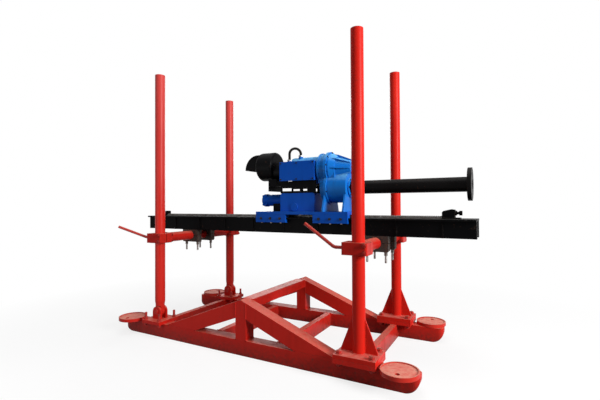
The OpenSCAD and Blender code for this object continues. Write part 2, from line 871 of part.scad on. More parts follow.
// Places of the bolts round the gear case's rim, as [axis height, angle, radius]
rim_places = concat(
    [for (a = [10, 45, 90, 135, 170]) [motor_z, a, case_r + 7.5]],
    [for (a = [-15, 195]) [spindle_z, a, drum_r + 7.5]]
);

module at_rim_places() {
    for (p = rim_places) translate([0, p[2] * cos(p[1]), p[0] + p[2] * sin(p[1])]) children();
}

// Bolts of the cap over the front spindle bearing
module at_cap_places() {
    for (i = [0 : cap_bolt_n - 1]) translate([0, 0, spindle_z]) rotate([i * 360 / cap_bolt_n, 0, 0])
        translate([0, cap_bolt_r, 0]) children();
}

// Places of the terminal box's lid screws, from the lid's corner
lid_places = [for (x = [14, box_l / 2, box_l - 14], z = [14, box_h - 14]) [x, z]];

module carriage_bolts() {
    color(steel) {
        both_sides() for (s = [-1, 1], k = [-1 : 1])
            translate([skirt_mid(s) + k * skirt_bolt_pitch, skirt_y, skirt_bolt_z]) rotate([-90, 0, 0])
                short_bolt(skirt_bolt_d, 9);
        at_rim_places() translate([split_x + rim_t, 0, 0]) rotate([0, 90, 0])
            short_bolt(casing_bolt_d, 2 * rim_t - 4);
        for (p = lid_places) translate([box_x + p[0], -box_y, box_z + p[1]]) rotate([90, 0, 0])
            short_bolt(casing_bolt_d, 9);
        at_cap_places() translate([housing_x + cap_l, 0, 0]) rotate([0, 90, 0])
            short_bolt(casing_bolt_d, 10);
    }
}

// Motor

module motor_frame() {
    fin_n = 20;
    fin_t = 5;
    color(blue) {
        difference() {
            union() {
                translate([finned_x, 0, motor_z]) rod_x(barrel_x - finned_x + 1, finned_r - fin_h);
                for (i = [0 : fin_n - 1]) translate([finned_x + 18, 0, motor_z])
                    rotate([i * 360 / fin_n, 0, 0]) translate([0, -fin_t / 2, finned_r - fin_h - 2])
                        cube([barrel_x - finned_x - 17, fin_t, fin_h + 2]);
                translate([barrel_x, 0, motor_z]) rod_x(case_x - barrel_x, barrel_r);
                translate([barrel_x + 8, -motor_foot_y, shelf_z + shelf_t])
                    cube([case_x - barrel_x - 30, 2 * motor_foot_y, box_z - shelf_z - shelf_t]);
            }
            translate([barrel_x + 12, 0, motor_z]) rod_x(case_x - barrel_x - 40, stator_r);
            translate([finned_x - 1, 0, motor_z]) rod_x(case_x - finned_x + 2, rotor_r + 5);
            translate([barrel_x - 10, 0, motor_z]) rod_x(23, motor_bearing_r);
            translate([case_x - 29, 0, motor_z]) rod_x(22, motor_bearing_r);
            translate([lead_b.x, lead_b.y, motor_z + stator_r + 10]) cylinder(h = barrel_r, r = lead_r + 0.3);
        }
        difference() {
            translate([lead_b.x, lead_b.y, motor_z + barrel_r - 20]) cylinder(h = 34, r = lead_r + 8);
            translate([lead_b.x, lead_b.y, motor_z]) cylinder(h = barrel_r + 60, r = lead_r + 0.3);
            translate([barrel_x, 0, motor_z]) rod_x(case_x - barrel_x, barrel_r - 1);
        }
    }
}

// Drum along +X with rolled edges
module rolled_drum(l, r, roll_r) {
    rotate([0, 90, 0]) rotate_extrude() {
        square([r - roll_r, l]);
        translate([0, roll_r]) square([r, l - 2 * roll_r]);
        for (z = [roll_r, l - roll_r]) translate([r - roll_r, z]) circle(roll_r);
    }
}

// Side view of the air hood: a quarter disc behind the drum and a straight lap over its rolled edge
module hood_outline(r, low) {
    intersection() {
        circle(r);
        translate([-r, low]) square([r, r - low]);
    }
    translate([-0.5, low]) square([cowl_roll + 6, r - low]);
}

// Drum round the fan, with a scooped hood over its inlet and a sleeve over the first fins
module fan_cowl() {
    inlet_r = cowl_r * 0.69;
    roll_r = cowl_roll;
    hood_z = cowl_z - 30;
    length = cowl_x1 - cowl_x0;
    color(black) {
        translate([cowl_x0, 0, cowl_z]) difference() {
            rolled_drum(length, cowl_r, roll_r);
            translate([sheet_t, 0, 0]) rolled_drum(length - 2 * sheet_t, cowl_r - sheet_t, roll_r - sheet_t);
            translate([-1, 0, 0]) rod_x(sheet_t + 2, inlet_r);
            translate([0, 0, -cowl_rise]) rod_x(length + 1, finned_r - fin_h + bolt_fit);
        }
        translate([cowl_x0, 0, hood_z]) difference() {
            run_y(hood_w) hood_outline(hood_r, 0);
            run_y(hood_w - 2 * sheet_t) hood_outline(hood_r - sheet_t, -1);
            translate([sheet_t / 2, 0, cowl_z - hood_z])
                rolled_drum(length - sheet_t, cowl_r - sheet_t / 2, roll_r - sheet_t / 2);
        }
        translate([cowl_x1 - 1, 0, motor_z]) ring_x(box_x - 3 - cowl_x1, sleeve_r, sleeve_r - sheet_t);
    }
}

module terminal_box() {
    lid_t = 12;
    back_y = 62;
    gland_h = 22;
    color(blue) {
        difference() {
            union() {
                translate([box_x + 4, lid_t - box_y, box_z + 4])
                    cube([box_l - 8, box_y - lid_t - back_y, box_h - 8]);
                translate([lead_a.x, lead_a.y, box_z + box_h - 8]) cylinder(h = gland_h + 4, r = lead_r + 8);
            }
            translate([barrel_x - 0.2, 0, motor_z]) rod_x(box_l, barrel_r);
            translate([finned_x, 0, motor_z]) rod_x(barrel_x - finned_x, finned_r + 0.5);
            translate([lead_a.x, lead_a.y, box_z + box_h]) cylinder(h = 80, r = lead_r + 0.3);
        }
        difference() {
            translate([box_x, -box_y, box_z]) cube([box_l, lid_t, box_h]);
            for (p = lid_places) translate([box_x + p[0], -box_y, box_z + p[1]])
                rod_y(20, casing_bolt_d / 2 + bolt_fit);
        }
    }
}

// Stiff conduit from the box's gland over to the barrel's gland
module motor_conduit() {
    span = norm(lead_b - lead_a);
    foot_a = box_z + box_h + 1;
    foot_b = motor_z + barrel_r - 30;
    lap = 3;
    color(black) {
        translate([lead_a.x, lead_a.y, foot_a]) cylinder(h = lead_z - foot_a + lap, r = lead_r);
        translate([lead_b.x, lead_b.y, foot_b]) cylinder(h = lead_z - foot_b + lap, r = lead_r);
        translate([(lead_a.x + lead_b.x) / 2, (lead_a.y + lead_b.y) / 2, lead_z])
            rotate([90, 0, atan2(lead_b.y - lead_a.y, lead_b.x - lead_a.x)])
                rotate_extrude(angle = 180) translate([span / 2, 0]) circle(lead_r + 0.5);
    }
}

// Shelf under the motor on two pierced side plates, with a cradle behind and one under the feed motor
module motor_bracket() {
    shelf_x = finned_x - 22;
    shelf_l = case_x - 22 - shelf_x;
    side_t = bracket_t;
    cradle_l = 84;
    cradle_h = 52;
    apron_h = 42;
    windows = [[feed_x0 + 12, 180], [feed_x1 - 115, 45]];
    window_h = bracket_h * 0.4;
    foot_x = feed_x0 - 115;
    color(black) {
        translate([shelf_x, -bracket_w / 2, shelf_z]) cube([shelf_l, bracket_w, shelf_t]);
        both_sides() difference() {
            translate([feed_x0, bracket_w / 2 - side_t, feed_top])
                cube([shelf_x + shelf_l - feed_x0, side_t, box_z - 2 - feed_top]);
            for (w = windows)
                translate([w[0], bracket_w / 2 - side_t - 1, feed_top + (bracket_h - window_h) / 2])
                    cube([w[1], side_t + 2, window_h]);
        }
        difference() {
            translate([shelf_x, -bracket_w / 2, shelf_z + shelf_t - 1]) cube([cradle_l, bracket_w, cradle_h]);
            translate([shelf_x - 1, 0, motor_z]) rod_x(cradle_l + 2, sleeve_r + slide_fit);
            translate([cowl_x0, 0, cowl_z]) rod_x(cowl_x1 - cowl_x0 + bolt_fit, cowl_r + slide_fit);
        }
        translate([shelf_x, -bracket_w / 2, shelf_z - apron_h]) cube([10, bracket_w, apron_h + 1]);
        difference() {
            translate([foot_x, -feed_foot_w / 2, plate_top])
                cube([feed_x0 - foot_x - 0.5, feed_foot_w, feed_motor_z - plate_top]);
            translate([foot_x - 1, 0, feed_motor_z]) rod_x(feed_x0 - foot_x + 2, feed_motor_r);
        }
    }
}

// Gear casings

module case_outline(extra) {
    translate([0, motor_z]) circle(case_r + extra);
    lower_outline(extra);
}

// Rear half round the motor and lay axes only
module upper_outline(extra) {
    waist = case_waist + extra;
    bottom = lay_z - gear_m * (lay_gear_teeth / 2 + 1) - 15 - extra;
    translate([0, motor_z]) circle(case_r + extra);
    translate([-waist, bottom]) square([2 * waist, motor_z - bottom]);
}

module lower_outline(extra) {
    waist = case_waist + extra;
    translate([0, spindle_z]) circle(drum_r + extra);
    translate([-waist, spindle_z]) square([2 * waist, motor_z - spindle_z]);
}

// Foot plate across the carriage, widest at its base
module foot_outline() {
    polygon([
        [-skirt_y, plate_top], [skirt_y, plate_top], [skirt_y, plate_top + 12],
        [drum_r - 2, spindle_z - 60], [2 - drum_r, spindle_z - 60], [-skirt_y, plate_top + 12]
    ]);
}

module rim_holes(x) {
    at_rim_places() translate([x - 1, 0, 0]) rod_x(rim_t + 2, casing_bolt_d / 2 + bolt_fit);
}

module gear_case() {
    boss_r = 51;
    boss_l = 20;
    color(blue) difference() {
        union() {
            translate([case_x, 0, 0]) run_x(split_x - case_x) upper_outline(0);
            translate([low_x, 0, 0]) run_x(split_x - low_x) lower_outline(0);
            translate([split_x - rim_t, 0, 0]) run_x(rim_t) case_outline(case_rim);
            translate([case_x, 0, motor_z]) rod_x(rim_t, case_r + case_rim / 2);
            translate([low_x - boss_l, 0, spindle_z]) rod_x(boss_l + 1, boss_r);
            translate([split_x - foot_t, 0, 0]) run_x(foot_t) foot_outline();
        }
        translate([case_x + case_t, 0, 0]) run_x(split_x - case_x) upper_outline(-case_t);
        translate([low_x + case_t, 0, 0]) run_x(split_x - low_x) lower_outline(-case_t);
        for (z = [motor_z, lay_z]) translate([case_x - 1, 0, z]) rod_x(case_t + 2, lay_bearing_r);
        translate([low_x - boss_l + 4, 0, spindle_z]) rod_x(boss_l + case_t, rear_bearing_r);
        rim_holes(split_x - rim_t);
    }
}

// Front half of the gear case: a sloping shoulder and a ribbed nose over the motor axis
module gear_cover() {
    shoulder_x = split_x + 26;
    shoulder_r = 102;
    nose_r = 92;
    nose_tip = 56;
    nose_rib_n = 8;
    nose_rib_t = 14;
    rib_rise = 13;
    color(blue) difference() {
        union() {
            translate([split_x, 0, 0]) run_x(cover_x - split_x) lower_outline(0);
            translate([split_x, 0, motor_z]) rod_x(shoulder_x - split_x, case_r);
            translate([shoulder_x, 0, motor_z]) rotate([0, 90, 0])
                cylinder(h = cover_x - shoulder_x, r1 = case_r, r2 = shoulder_r);
            translate([split_x, 0, 0]) run_x(rim_t) case_outline(case_rim);
            translate([cover_x - 1, 0, motor_z]) rotate([0, 90, 0])
                cylinder(h = nose_l, r1 = nose_r, r2 = nose_tip);
            for (i = [0 : nose_rib_n - 1]) translate([shoulder_x, 0, motor_z])
                rotate([i * 360 / nose_rib_n, 0, 0]) run_y(nose_rib_t) polygon([
                    [0, 20], [0, case_r - 4], [cover_x - shoulder_x, shoulder_r + rib_rise],
                    [cover_x - shoulder_x + nose_l - 5, nose_tip + rib_rise],
                    [cover_x - shoulder_x + nose_l - 5, 20]
                ]);
        }
        translate([split_x - 1, 0, 0]) run_x(cover_x - split_x - case_t + 1) lower_outline(-case_t);
        translate([split_x - 1, 0, motor_z]) rod_x(cover_x - split_x - case_t + 1, shoulder_r - case_t);
        translate([cover_x - case_t - 2, 0, lay_z]) rod_x(case_t + 2, lay_bearing_r);
        translate([split_x, 0, spindle_z]) rod_x(cover_x - split_x + 1, spindle_journal_r + 4);
        translate([cover_x, 0, spindle_z]) rod_x(nose_l + 20, drum_r + slide_fit);
        rim_holes(split_x);
    }
}

module spindle_housing() {
    length = housing_x - cover_x;
    cap_r = 84;
    color(blue) difference() {
        union() {
            translate([cover_x, 0, spindle_z]) rod_x(length, drum_r);
            translate([housing_x - foot_t, 0, 0]) run_x(foot_t) foot_outline();
            translate([housing_x - 1, 0, spindle_z]) rod_x(cap_l + 1, cap_r);
        }
        translate([cover_x - 1, 0, spindle_z]) rod_x(length - cap_l + 3, front_bearing_r);
        translate([cover_x, 0, spindle_z]) rod_x(length + 2 * cap_l, spindle_d / 2 + 1);
        at_cap_places() translate([housing_x, 0, 0]) rod_x(cap_l + 2, casing_bolt_d / 2 + bolt_fit);
    }
}

module bearings() {
    front_l = 25;
    color(steel) {
        for (x = [cover_x + 4, housing_x - front_l - 11]) translate([x, 0, spindle_z])
            ring_x(front_l, front_bearing_r, spindle_journal_r + turn_fit);
        translate([low_x - 16, 0, spindle_z]) ring_x(bearing_l, rear_bearing_r, journal_r + turn_fit);
        for (x = [case_x, cover_x - case_t]) translate([x, 0, lay_z])
            ring_x(case_t, lay_bearing_r, lay_r + turn_fit);
        for (x = [barrel_x - 10, case_x - 29]) translate([x, 0, motor_z])
            ring_x(bearing_l, motor_bearing_r, rotor_r + turn_fit);
    }
}

module feed_gearbox() {
    pocket_r = pinion_r + rack_m + 6;
    cap_r = 34;
    color(blue) difference() {
        union() {
            translate([feed_x0, -feed_y, plate_top]) cube([feed_x1 - feed_x0, 2 * feed_y, feed_h]);
            translate([pinion_x, 0, pinion_z + cap_r]) rod_y(2 * feed_y + 16, cap_r);
        }
        translate([pinion_x - pocket_r, -rack_w / 2 - 8, plate_top - 1])
            cube([2 * pocket_r, rack_w + 16, pinion_z - plate_top + pocket_r]);
        translate([pinion_x, 0, pinion_z]) rod_y(2 * feed_y - 20, pinion_shaft_r + turn_fit);
        for (x = [feed_x0, feed_x1]) translate([x, 0, feed_top]) rotate([0, 45, 0])
            cube([20, 2 * feed_y + 2, 20], center = true);
    }
}

// Feed motor with a lugged end cover
module feed_motor() {
    end_x = feed_x0 - feed_motor_l;
    end_t = 32;
    lug_r = 12;
    lug_at = feed_motor_r;
    color(blue) translate([0, 0, feed_motor_z]) {
        translate([end_x, 0, 0]) rod_x(feed_x0 - end_x, feed_motor_r);
        translate([end_x + 6, 0, 0]) rod_x(end_t, feed_motor_r + 5);
        for (a = [45 : 90 : 315]) translate([end_x + 2, lug_at * cos(a), lug_at * sin(a)])
            rod_x(end_t + 12, lug_r);
    }
}

// Turning parts

module spindle_tube() {
    end = carr_x + spindle_end;
    rear = low_x - 15;
    color(black) translate([0, 0, spindle_z]) difference() {
        union() {
            translate([rear, 0, 0]) rod_x(cover_x - rear, journal_r);
            translate([cover_x, 0, 0]) rod_x(housing_x - cover_x, spindle_journal_r);
            translate([housing_x - 10, 0, 0]) rod_x(end - housing_x + 10, spindle_d / 2);
            translate([end - end_flange_t, 0, 0]) rod_x(end_flange_t, end_flange_d / 2);
        }
        translate([rear - 1, 0, 0]) rod_x(end - rear + 2, spindle_bore_d / 2);
        translate([end - socket_h, 0, 0]) rod_x(socket_h + 1, socket_d / 2);
        for (i = [0 : end_bolts - 1]) rotate([i * 360 / end_bolts, 0, 0])
            translate([end - end_flange_t - 1, end_pcd / 2, 0]) rod_x(end_flange_t + 2, end_hole_d / 2);
    }
}

module spindle_gear() {
    color(steel) translate([stage_two_x, 0, spindle_z]) run_x(stage_two_w) difference() {
        rotate(90) gear_outline(gear_m, spindle_gear_teeth);
        circle(journal_r + press_gap);
    }
}

module lay_shaft() {
    color(steel) translate([0, 0, lay_z]) {
        translate([case_x, 0, 0]) rod_x(cover_x - case_x, lay_r);
        translate([stage_one_x, 0, 0]) run_x(stage_one_w) rotate(90) gear_outline(gear_m, lay_gear_teeth);
        translate([stage_two_x, 0, 0]) run_x(stage_two_w) rotate(-90 + 180 / lay_pinion_teeth)
            gear_outline(gear_m, lay_pinion_teeth);
    }
}

// Rotor core and shaft, the pinion cut on its front end, the fan on its rear end
module motor_rotor() {
    fan_x = cowl_x0 + 52;
    fan_w = 44;
    fan_r = 74;
    blades = 8;
    color(steel) translate([0, 0, motor_z]) {
        translate([fan_x, 0, 0]) rod_x(case_x - fan_x, rotor_r);
        translate([case_x - 1, 0, 0]) rod_x(stage_one_x + stage_one_w - case_x, lay_r);
        translate([barrel_x + 40, 0, 0]) rod_x(case_x - barrel_x - 100, stator_r - 2);
        translate([stage_one_x, 0, 0]) run_x(stage_one_w) rotate(-90 + 180 / motor_pinion_teeth)
            gear_outline(gear_m, motor_pinion_teeth);
        translate([fan_x, 0, 0]) rod_x(fan_w, 28);
        for (i = [0 : blades - 1]) rotate([i * 360 / blades, 0, 0]) translate([fan_x, -2, 20])
            cube([fan_w, 4, fan_r - 20]);
    }
}

module feed_pinion() {
    color(steel) translate([pinion_x, 0, pinion_z]) {
        run_y(rack_w - 6) rotate(-90 + 180 / pinion_teeth) gear_outline(rack_m, pinion_teeth);
        rod_y(2 * feed_y - 30, pinion_shaft_r);
    }
}

runner(-1);  // runner_near
runner(1);  // runner_far
post(-1);  // post_near
post(1);  // post_far
brace(-1, -1);  // brace_near_rear
brace(1, -1);  // brace_near_front
brace(-1, 1);  // brace_far_rear
brace(1, 1);  // brace_far_front
ridge_beam();
cross_beam(-column_span / 2);  // cross_beam_rear
cross_beam(column_span / 2);  // cross_beam_front
middle_beams();
prop_pans();
front_seats();
column_front(-1);  // column_front_near
column_front(1);  // column_front_far
rear_clevises();
column_rear(-1);  // column_rear_near
column_rear(1);  // column_rear_far
clevis_pins();
base_bolts();
cross_tube(front_x);  // front_cross_tube
clamps(front_x);  // front_clamps
clamp_bolts(front_x);  // front_clamp_bolts
handle(front_x, -1, turn_front_near);  // handle_front_near
handle(front_x, 1, turn_front_far);  // handle_front_far
handle(rear_x, -1, turn_rear_near);  // handle_rear_near
handle(rear_x, 1, turn_rear_far);  // handle_rear_far
cross_tube(rear_x);  // rear_cross_tube
clamps(rear_x);  // rear_clamps
clamp_bolts(rear_x);  // rear_clamp_bolts
saddle_pair(rear_x, saddle_gap);  // rear_saddles
saddle_studs(rear_x, saddle_gap);  // rear_saddle_studs
rail_side(-1);  // rail_side_near
rail_side(1);  // rail_side_far
rail_deck();
feed_rack();
rear_stop();
front_stop();
saddle_pair(front_x, 0);  // front_saddles
saddle_studs(front_x, 0);  // front_saddle_studs
carriage_plate();
carriage_skirts();
carriage_bolts();
motor_frame();
fan_cowl();
terminal_box();
motor_conduit();
motor_bracket();
gear_case();
gear_cover();
spindle_housing();
bearings();
feed_gearbox();
feed_motor();
spindle_tube();
spindle_gear();
lay_shaft();
motor_rotor();
feed_pinion();
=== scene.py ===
import math

import bpy
import numpy as np
from mathutils import Matrix, Vector


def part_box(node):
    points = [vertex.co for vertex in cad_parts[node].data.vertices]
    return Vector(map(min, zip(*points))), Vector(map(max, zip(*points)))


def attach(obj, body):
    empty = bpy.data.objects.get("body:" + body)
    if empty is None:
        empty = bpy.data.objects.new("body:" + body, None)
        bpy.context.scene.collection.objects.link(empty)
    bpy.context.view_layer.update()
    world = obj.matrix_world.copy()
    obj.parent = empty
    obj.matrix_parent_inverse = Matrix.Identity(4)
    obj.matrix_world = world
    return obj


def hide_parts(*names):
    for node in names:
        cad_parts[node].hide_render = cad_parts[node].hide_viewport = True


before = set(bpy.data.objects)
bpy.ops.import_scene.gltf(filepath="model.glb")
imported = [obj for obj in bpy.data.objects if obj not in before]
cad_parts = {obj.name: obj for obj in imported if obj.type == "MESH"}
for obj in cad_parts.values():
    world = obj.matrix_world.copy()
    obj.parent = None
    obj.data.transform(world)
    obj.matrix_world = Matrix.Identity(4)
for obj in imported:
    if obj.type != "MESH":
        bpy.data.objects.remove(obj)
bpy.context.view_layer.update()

# The camera stands at chest height off the rig's front corner and looks a little up,
# with the wide lens that the spread of the four columns asks for.
camera_place = Vector((1.778, -2.945, 1.177))
turn, rise, roll = 0.4980, 0.0134, -0.0052
ahead = Vector((-math.sin(turn) * math.cos(rise), math.cos(turn) * math.cos(rise), math.sin(rise)))
level = Vector((math.cos(turn), math.sin(turn), 0.0))
above = level.cross(ahead)
right = level * math.cos(roll) + above * math.sin(roll)
up = above * math.cos(roll) - level * math.sin(roll)
lens = bpy.data.cameras.new("photo_camera")
lens.sensor_width = 36.0
lens.lens = 22.69
lens.clip_end = 100.0
camera = bpy.data.objects.new("photo_camera", lens)
camera.matrix_world = Matrix.Translation(camera_place) @ Matrix((right, up, -ahead)).transposed().to_4x4()
bpy.context.collection.objects.link(camera)
bpy.context.scene.camera = camera
bpy.context.scene.view_settings.view_transform = "Standard"


# The studio is a pale floor under an open sky. Eyes and reflections see white,
# while the light that falls on the rig comes from a dim sky, a big lamp on its right and three soft fills.
def add(tree, kind, sockets=(), **settings):
    """Adds a node; sockets are values to set or other sockets to link from, by name or number."""
    node = tree.nodes.new(kind)
    for name, value in settings.items():
        setattr(node, name, value)
    for name, value in dict(sockets).items():
        if isinstance(value, bpy.types.NodeSocket):
            tree.links.new(value, node.inputs[name])
        else:
            node.inputs[name].default_value = value
    return node


def seen_directly(tree):
    """One for a ray from the eye, a mirror or a clear pane, zero for scattered light."""
    path = add(tree, "ShaderNodeLightPath").outputs
    eye = add(tree, "ShaderNodeMath", {0: path["Is Camera Ray"], 1: path["Is Glossy Ray"]}, operation="MAXIMUM")
    both = {0: eye.outputs[0], 1: path["Is Transmission Ray"]}
    return add(tree, "ShaderNodeMath", both, operation="MAXIMUM").outputs[0]


sky = bpy.data.worlds.new("open_sky")
bpy.context.scene.world = sky
sky.use_nodes = True
sky_tree = sky.node_tree
sky_level = 0.10
sky_range = {"Value": seen_directly(sky_tree), "To Min": sky_level, "To Max": 1.0}
sky_strength = add(sky_tree, "ShaderNodeMapRange", sky_range)
sky_tree.nodes["Background"].inputs["Color"].default_value = (1.0, 1.0, 1.0, 1.0)
sky_tree.links.new(sky_strength.outputs[0], sky_tree.nodes["Background"].inputs["Strength"])

floor_half = 16.0
floor_mesh = bpy.data.meshes.new("floor")
floor_corners = np.array([[-1, -1, 0], [1, -1, 0], [1, 1, 0], [-1, 1, 0]], float) * floor_half
floor_mesh.from_pydata(floor_corners.tolist(), [], [(0, 1, 2, 3)])
floor = bpy.data.objects.new("floor", floor_mesh)
bpy.context.collection.objects.link(floor)
floor_paint = bpy.data.materials.new("pale_floor")
floor_paint.use_nodes = True
floor_tree = floor_paint.node_tree
floor_tree.nodes.clear()
floor_place = add(floor_tree, "ShaderNodeTexCoord").outputs["Object"]
away = add(floor_tree, "ShaderNodeVectorMath", {0: floor_place}, operation="LENGTH").outputs["Value"]
shadow_near, shadow_far, near_white = 1.6, 3.6, 0.78
fade_range = {"Value": away, "From Min": shadow_near, "From Max": shadow_far, "To Min": near_white, "To Max": 1.0}
fading = add(floor_tree, "ShaderNodeMapRange", fade_range)
eye_ray = seen_directly(floor_tree)
white_share = add(floor_tree, "ShaderNodeMath", {0: eye_ray, 1: fading.outputs[0]}, operation="MULTIPLY")
floor_scatters, floor_seen = 0.18, 0.80
floor_range = {"Value": eye_ray, "To Min": floor_scatters, "To Max": floor_seen}
floor_tone = add(floor_tree, "ShaderNodeMapRange", floor_range)
floor_matt = add(floor_tree, "ShaderNodeBsdfDiffuse", {"Color": floor_tone.outputs[0]})
floor_glow = add(floor_tree, "ShaderNodeEmission", {"Color": (1.0, 1.0, 1.0, 1.0), "Strength": 1.0})
floor_layers = {0: white_share.outputs[0], 1: floor_matt.outputs[0], 2: floor_glow.outputs[0]}
floor_mix = add(floor_tree, "ShaderNodeMixShader", floor_layers)
add(floor_tree, "ShaderNodeOutputMaterial", {"Surface": floor_mix.outputs[0]})
floor_mesh.materials.append(floor_paint)


def soft_lamp(name, place, target, size, watts):
    """Square soft lamp that faces a point on the rig."""
    lamp = bpy.data.lights.new(name, "AREA")
    lamp.size = size
    lamp.energy = watts
    holder = bpy.data.objects.new(name, lamp)
    holder.location = place
    holder.rotation_euler = (Vector(target) - Vector(place)).to_track_quat("-Z", "Y").to_euler()
    holder.visible_camera = False
    bpy.context.collection.objects.link(holder)


soft_lamp("right_lamp", (6.4, -1.3, 3.0), (0.0, 0.0, 0.9), 2.2, 560.0)
soft_lamp("top_lamp", (0.4, -0.6, 6.4), (0.0, 0.0, 1.0), 4.0, 180.0)
soft_lamp("front_lamp", (-1.1, -2.4, 1.0), (-0.3, 0.0, 0.6), 1.4, 11.0)
soft_lamp("back_lamp", (-3.2, 5.2, 2.6), (0.0, 0.0, 0.9), 3.0, 130.0)


# The sled is welded from box sections and channels and brushed with orange-red gloss enamel.
# Dust with a painted sky reflection pales what faces up, the paint darkens near the ground, and corners are chipped.
def shader_group(name, inputs, outputs):
    """Empty node group with the named input and output sockets."""
    group = bpy.data.node_groups.new(name, "ShaderNodeTree")
    kinds = {"colour": "NodeSocketColor", "value": "NodeSocketFloat", "normal": "NodeSocketVector"}
    for socket, kind in inputs:
        group.interface.new_socket(socket, in_out="INPUT", socket_type=kinds[kind])
    for socket, kind in outputs:
        group.interface.new_socket(socket, in_out="OUTPUT", socket_type=kinds[kind])
    return group, group.nodes.new("NodeGroupInput").outputs, group.nodes.new("NodeGroupOutput").inputs


def noise(tree, scale, detail, stretch=(1.0, 1.0, 1.0)):
    """Cloudy pattern on object coordinates, stretched along the axes."""
    place = add(tree, "ShaderNodeTexCoord").outputs["Object"]
    place = add(tree, "ShaderNodeMapping", {"Vector": place, "Scale": stretch}).outputs[0]
    return add(tree, "ShaderNodeTexNoise", {"Vector": place, "Scale": scale, "Detail": detail}).outputs["Fac"]


def ramp(tree, value, low, high, start=0.0, end=1.0):
    """Value carried from low..high to start..end and held at the ends."""
    limits = {"Value": value, "From Min": low, "From Max": high, "To Min": start, "To Max": end}
    return add(tree, "ShaderNodeMapRange", limits).outputs[0]


def times(tree, a, b):
    return add(tree, "ShaderNodeMath", {0: a, 1: b}, operation="MULTIPLY").outputs[0]


def blend(tree, share, a, b):
    """Colour a, going over to colour b with the share."""
    return add(tree, "ShaderNodeMix", {0: share, 6: a, 7: b}, data_type="RGBA").outputs[2]


def make_enamel():
    """Brushed enamel: fading, drip streaks, bleached tops, dust with a painted sky reflection, darkening near the
    ground, chips and worn edges.
    """
    tree, given, put = shader_group(
        "site_enamel",
        [("Colour", "colour"), ("Faded", "colour"), ("Dust And Sheen", "colour"), ("Primer", "colour"),
         ("Dust Amount", "value"), ("Chip Amount", "value"), ("Gloss Roughness", "value"),
         ("Bleach", "value"), ("Edge", "value")],
        [("Colour", "colour"), ("Roughness", "value"), ("Height", "value")],
    )
    broad = noise(tree, 2.6, 3.0)
    streak = noise(tree, 4.0, 3.0, (5.0, 5.0, 0.6))
    fine = noise(tree, 38.0, 6.0)
    speck = noise(tree, 130.0, 3.0)
    colour = blend(tree, ramp(tree, broad, 0.35, 0.75, 0.0, 0.55), given["Colour"], given["Faded"])
    dark = add(tree, "ShaderNodeHueSaturation", {"Value": 0.62, "Color": colour}).outputs[0]
    colour = blend(tree, ramp(tree, streak, 0.50, 0.82, 0.0, 0.40), colour, dark)
    height = add(tree, "ShaderNodeSeparateXYZ", {0: add(tree, "ShaderNodeTexCoord").outputs["Object"]}).outputs[2]
    chalk = add(tree, "ShaderNodeHueSaturation", {"Saturation": 0.72, "Value": 1.12, "Color": colour}).outputs[0]
    colour = blend(tree, times(tree, ramp(tree, height, 1.1, 2.3), given["Bleach"]), colour, chalk)
    normal = add(tree, "ShaderNodeNewGeometry").outputs["Normal"]
    facing = add(tree, "ShaderNodeSeparateXYZ", {0: normal}).outputs[2]
    # Dust with a painted sky reflection: the Dust And Sheen colour lies over what faces up, in patches.
    lying = times(tree, ramp(tree, facing, 0.40, 0.95), ramp(tree, fine, 0.3, 0.62, 0.35, 1.0))
    dust_and_sheen_share = times(tree, lying, given["Dust Amount"])
    colour = blend(tree, dust_and_sheen_share, colour, given["Dust And Sheen"])
    # Darker towards the bottom: below about 13 cm the paint goes over to a dark brown, in patches.
    low = times(tree, ramp(tree, height, 0.13, -0.01), ramp(tree, fine, 0.36, 0.62, 0.45, 1.0))
    colour = blend(tree, times(tree, low, 0.8), colour, (0.045, 0.020, 0.015, 1.0))
    flaked = times(tree, ramp(tree, fine, 0.655, 0.69), ramp(tree, speck, 0.45, 0.55))
    chip = times(tree, flaked, given["Chip Amount"])
    soft = add(tree, "ShaderNodeBevel", {"Radius": 0.004}, samples=4).outputs[0]
    along = add(tree, "ShaderNodeVectorMath", {0: soft, 1: normal}, operation="DOT_PRODUCT").outputs["Value"]
    rubbed = times(tree, ramp(tree, along, 0.985, 0.90), ramp(tree, fine, 0.44, 0.60))
    worn = times(tree, rubbed, given["Edge"])
    chip = add(tree, "ShaderNodeMath", {0: chip, 1: worn}, operation="MAXIMUM").outputs[0]
    tree.links.new(blend(tree, chip, colour, given["Primer"]), put["Colour"])
    rough = add(tree, "ShaderNodeMath", {0: given["Gloss Roughness"], 1: times(tree, dust_and_sheen_share, 0.35)}).outputs[0]
    rough = add(tree, "ShaderNodeMath", {0: rough, 1: ramp(tree, streak, 0.4, 0.8, 0.0, 0.12)}).outputs[0]
    tree.links.new(add(tree, "ShaderNodeMath", {0: rough, 1: times(tree, chip, 0.4)}).outputs[0], put["Roughness"])
    peel = add(tree, "ShaderNodeMath", {0: times(tree, fine, 0.6), 1: times(tree, speck, 0.25)}).outputs[0]
    tree.links.new(add(tree, "ShaderNodeMath", {0: peel, 1: chip}, operation="SUBTRACT").outputs[0], put["Height"])
    return tree


enamel = make_enamel()


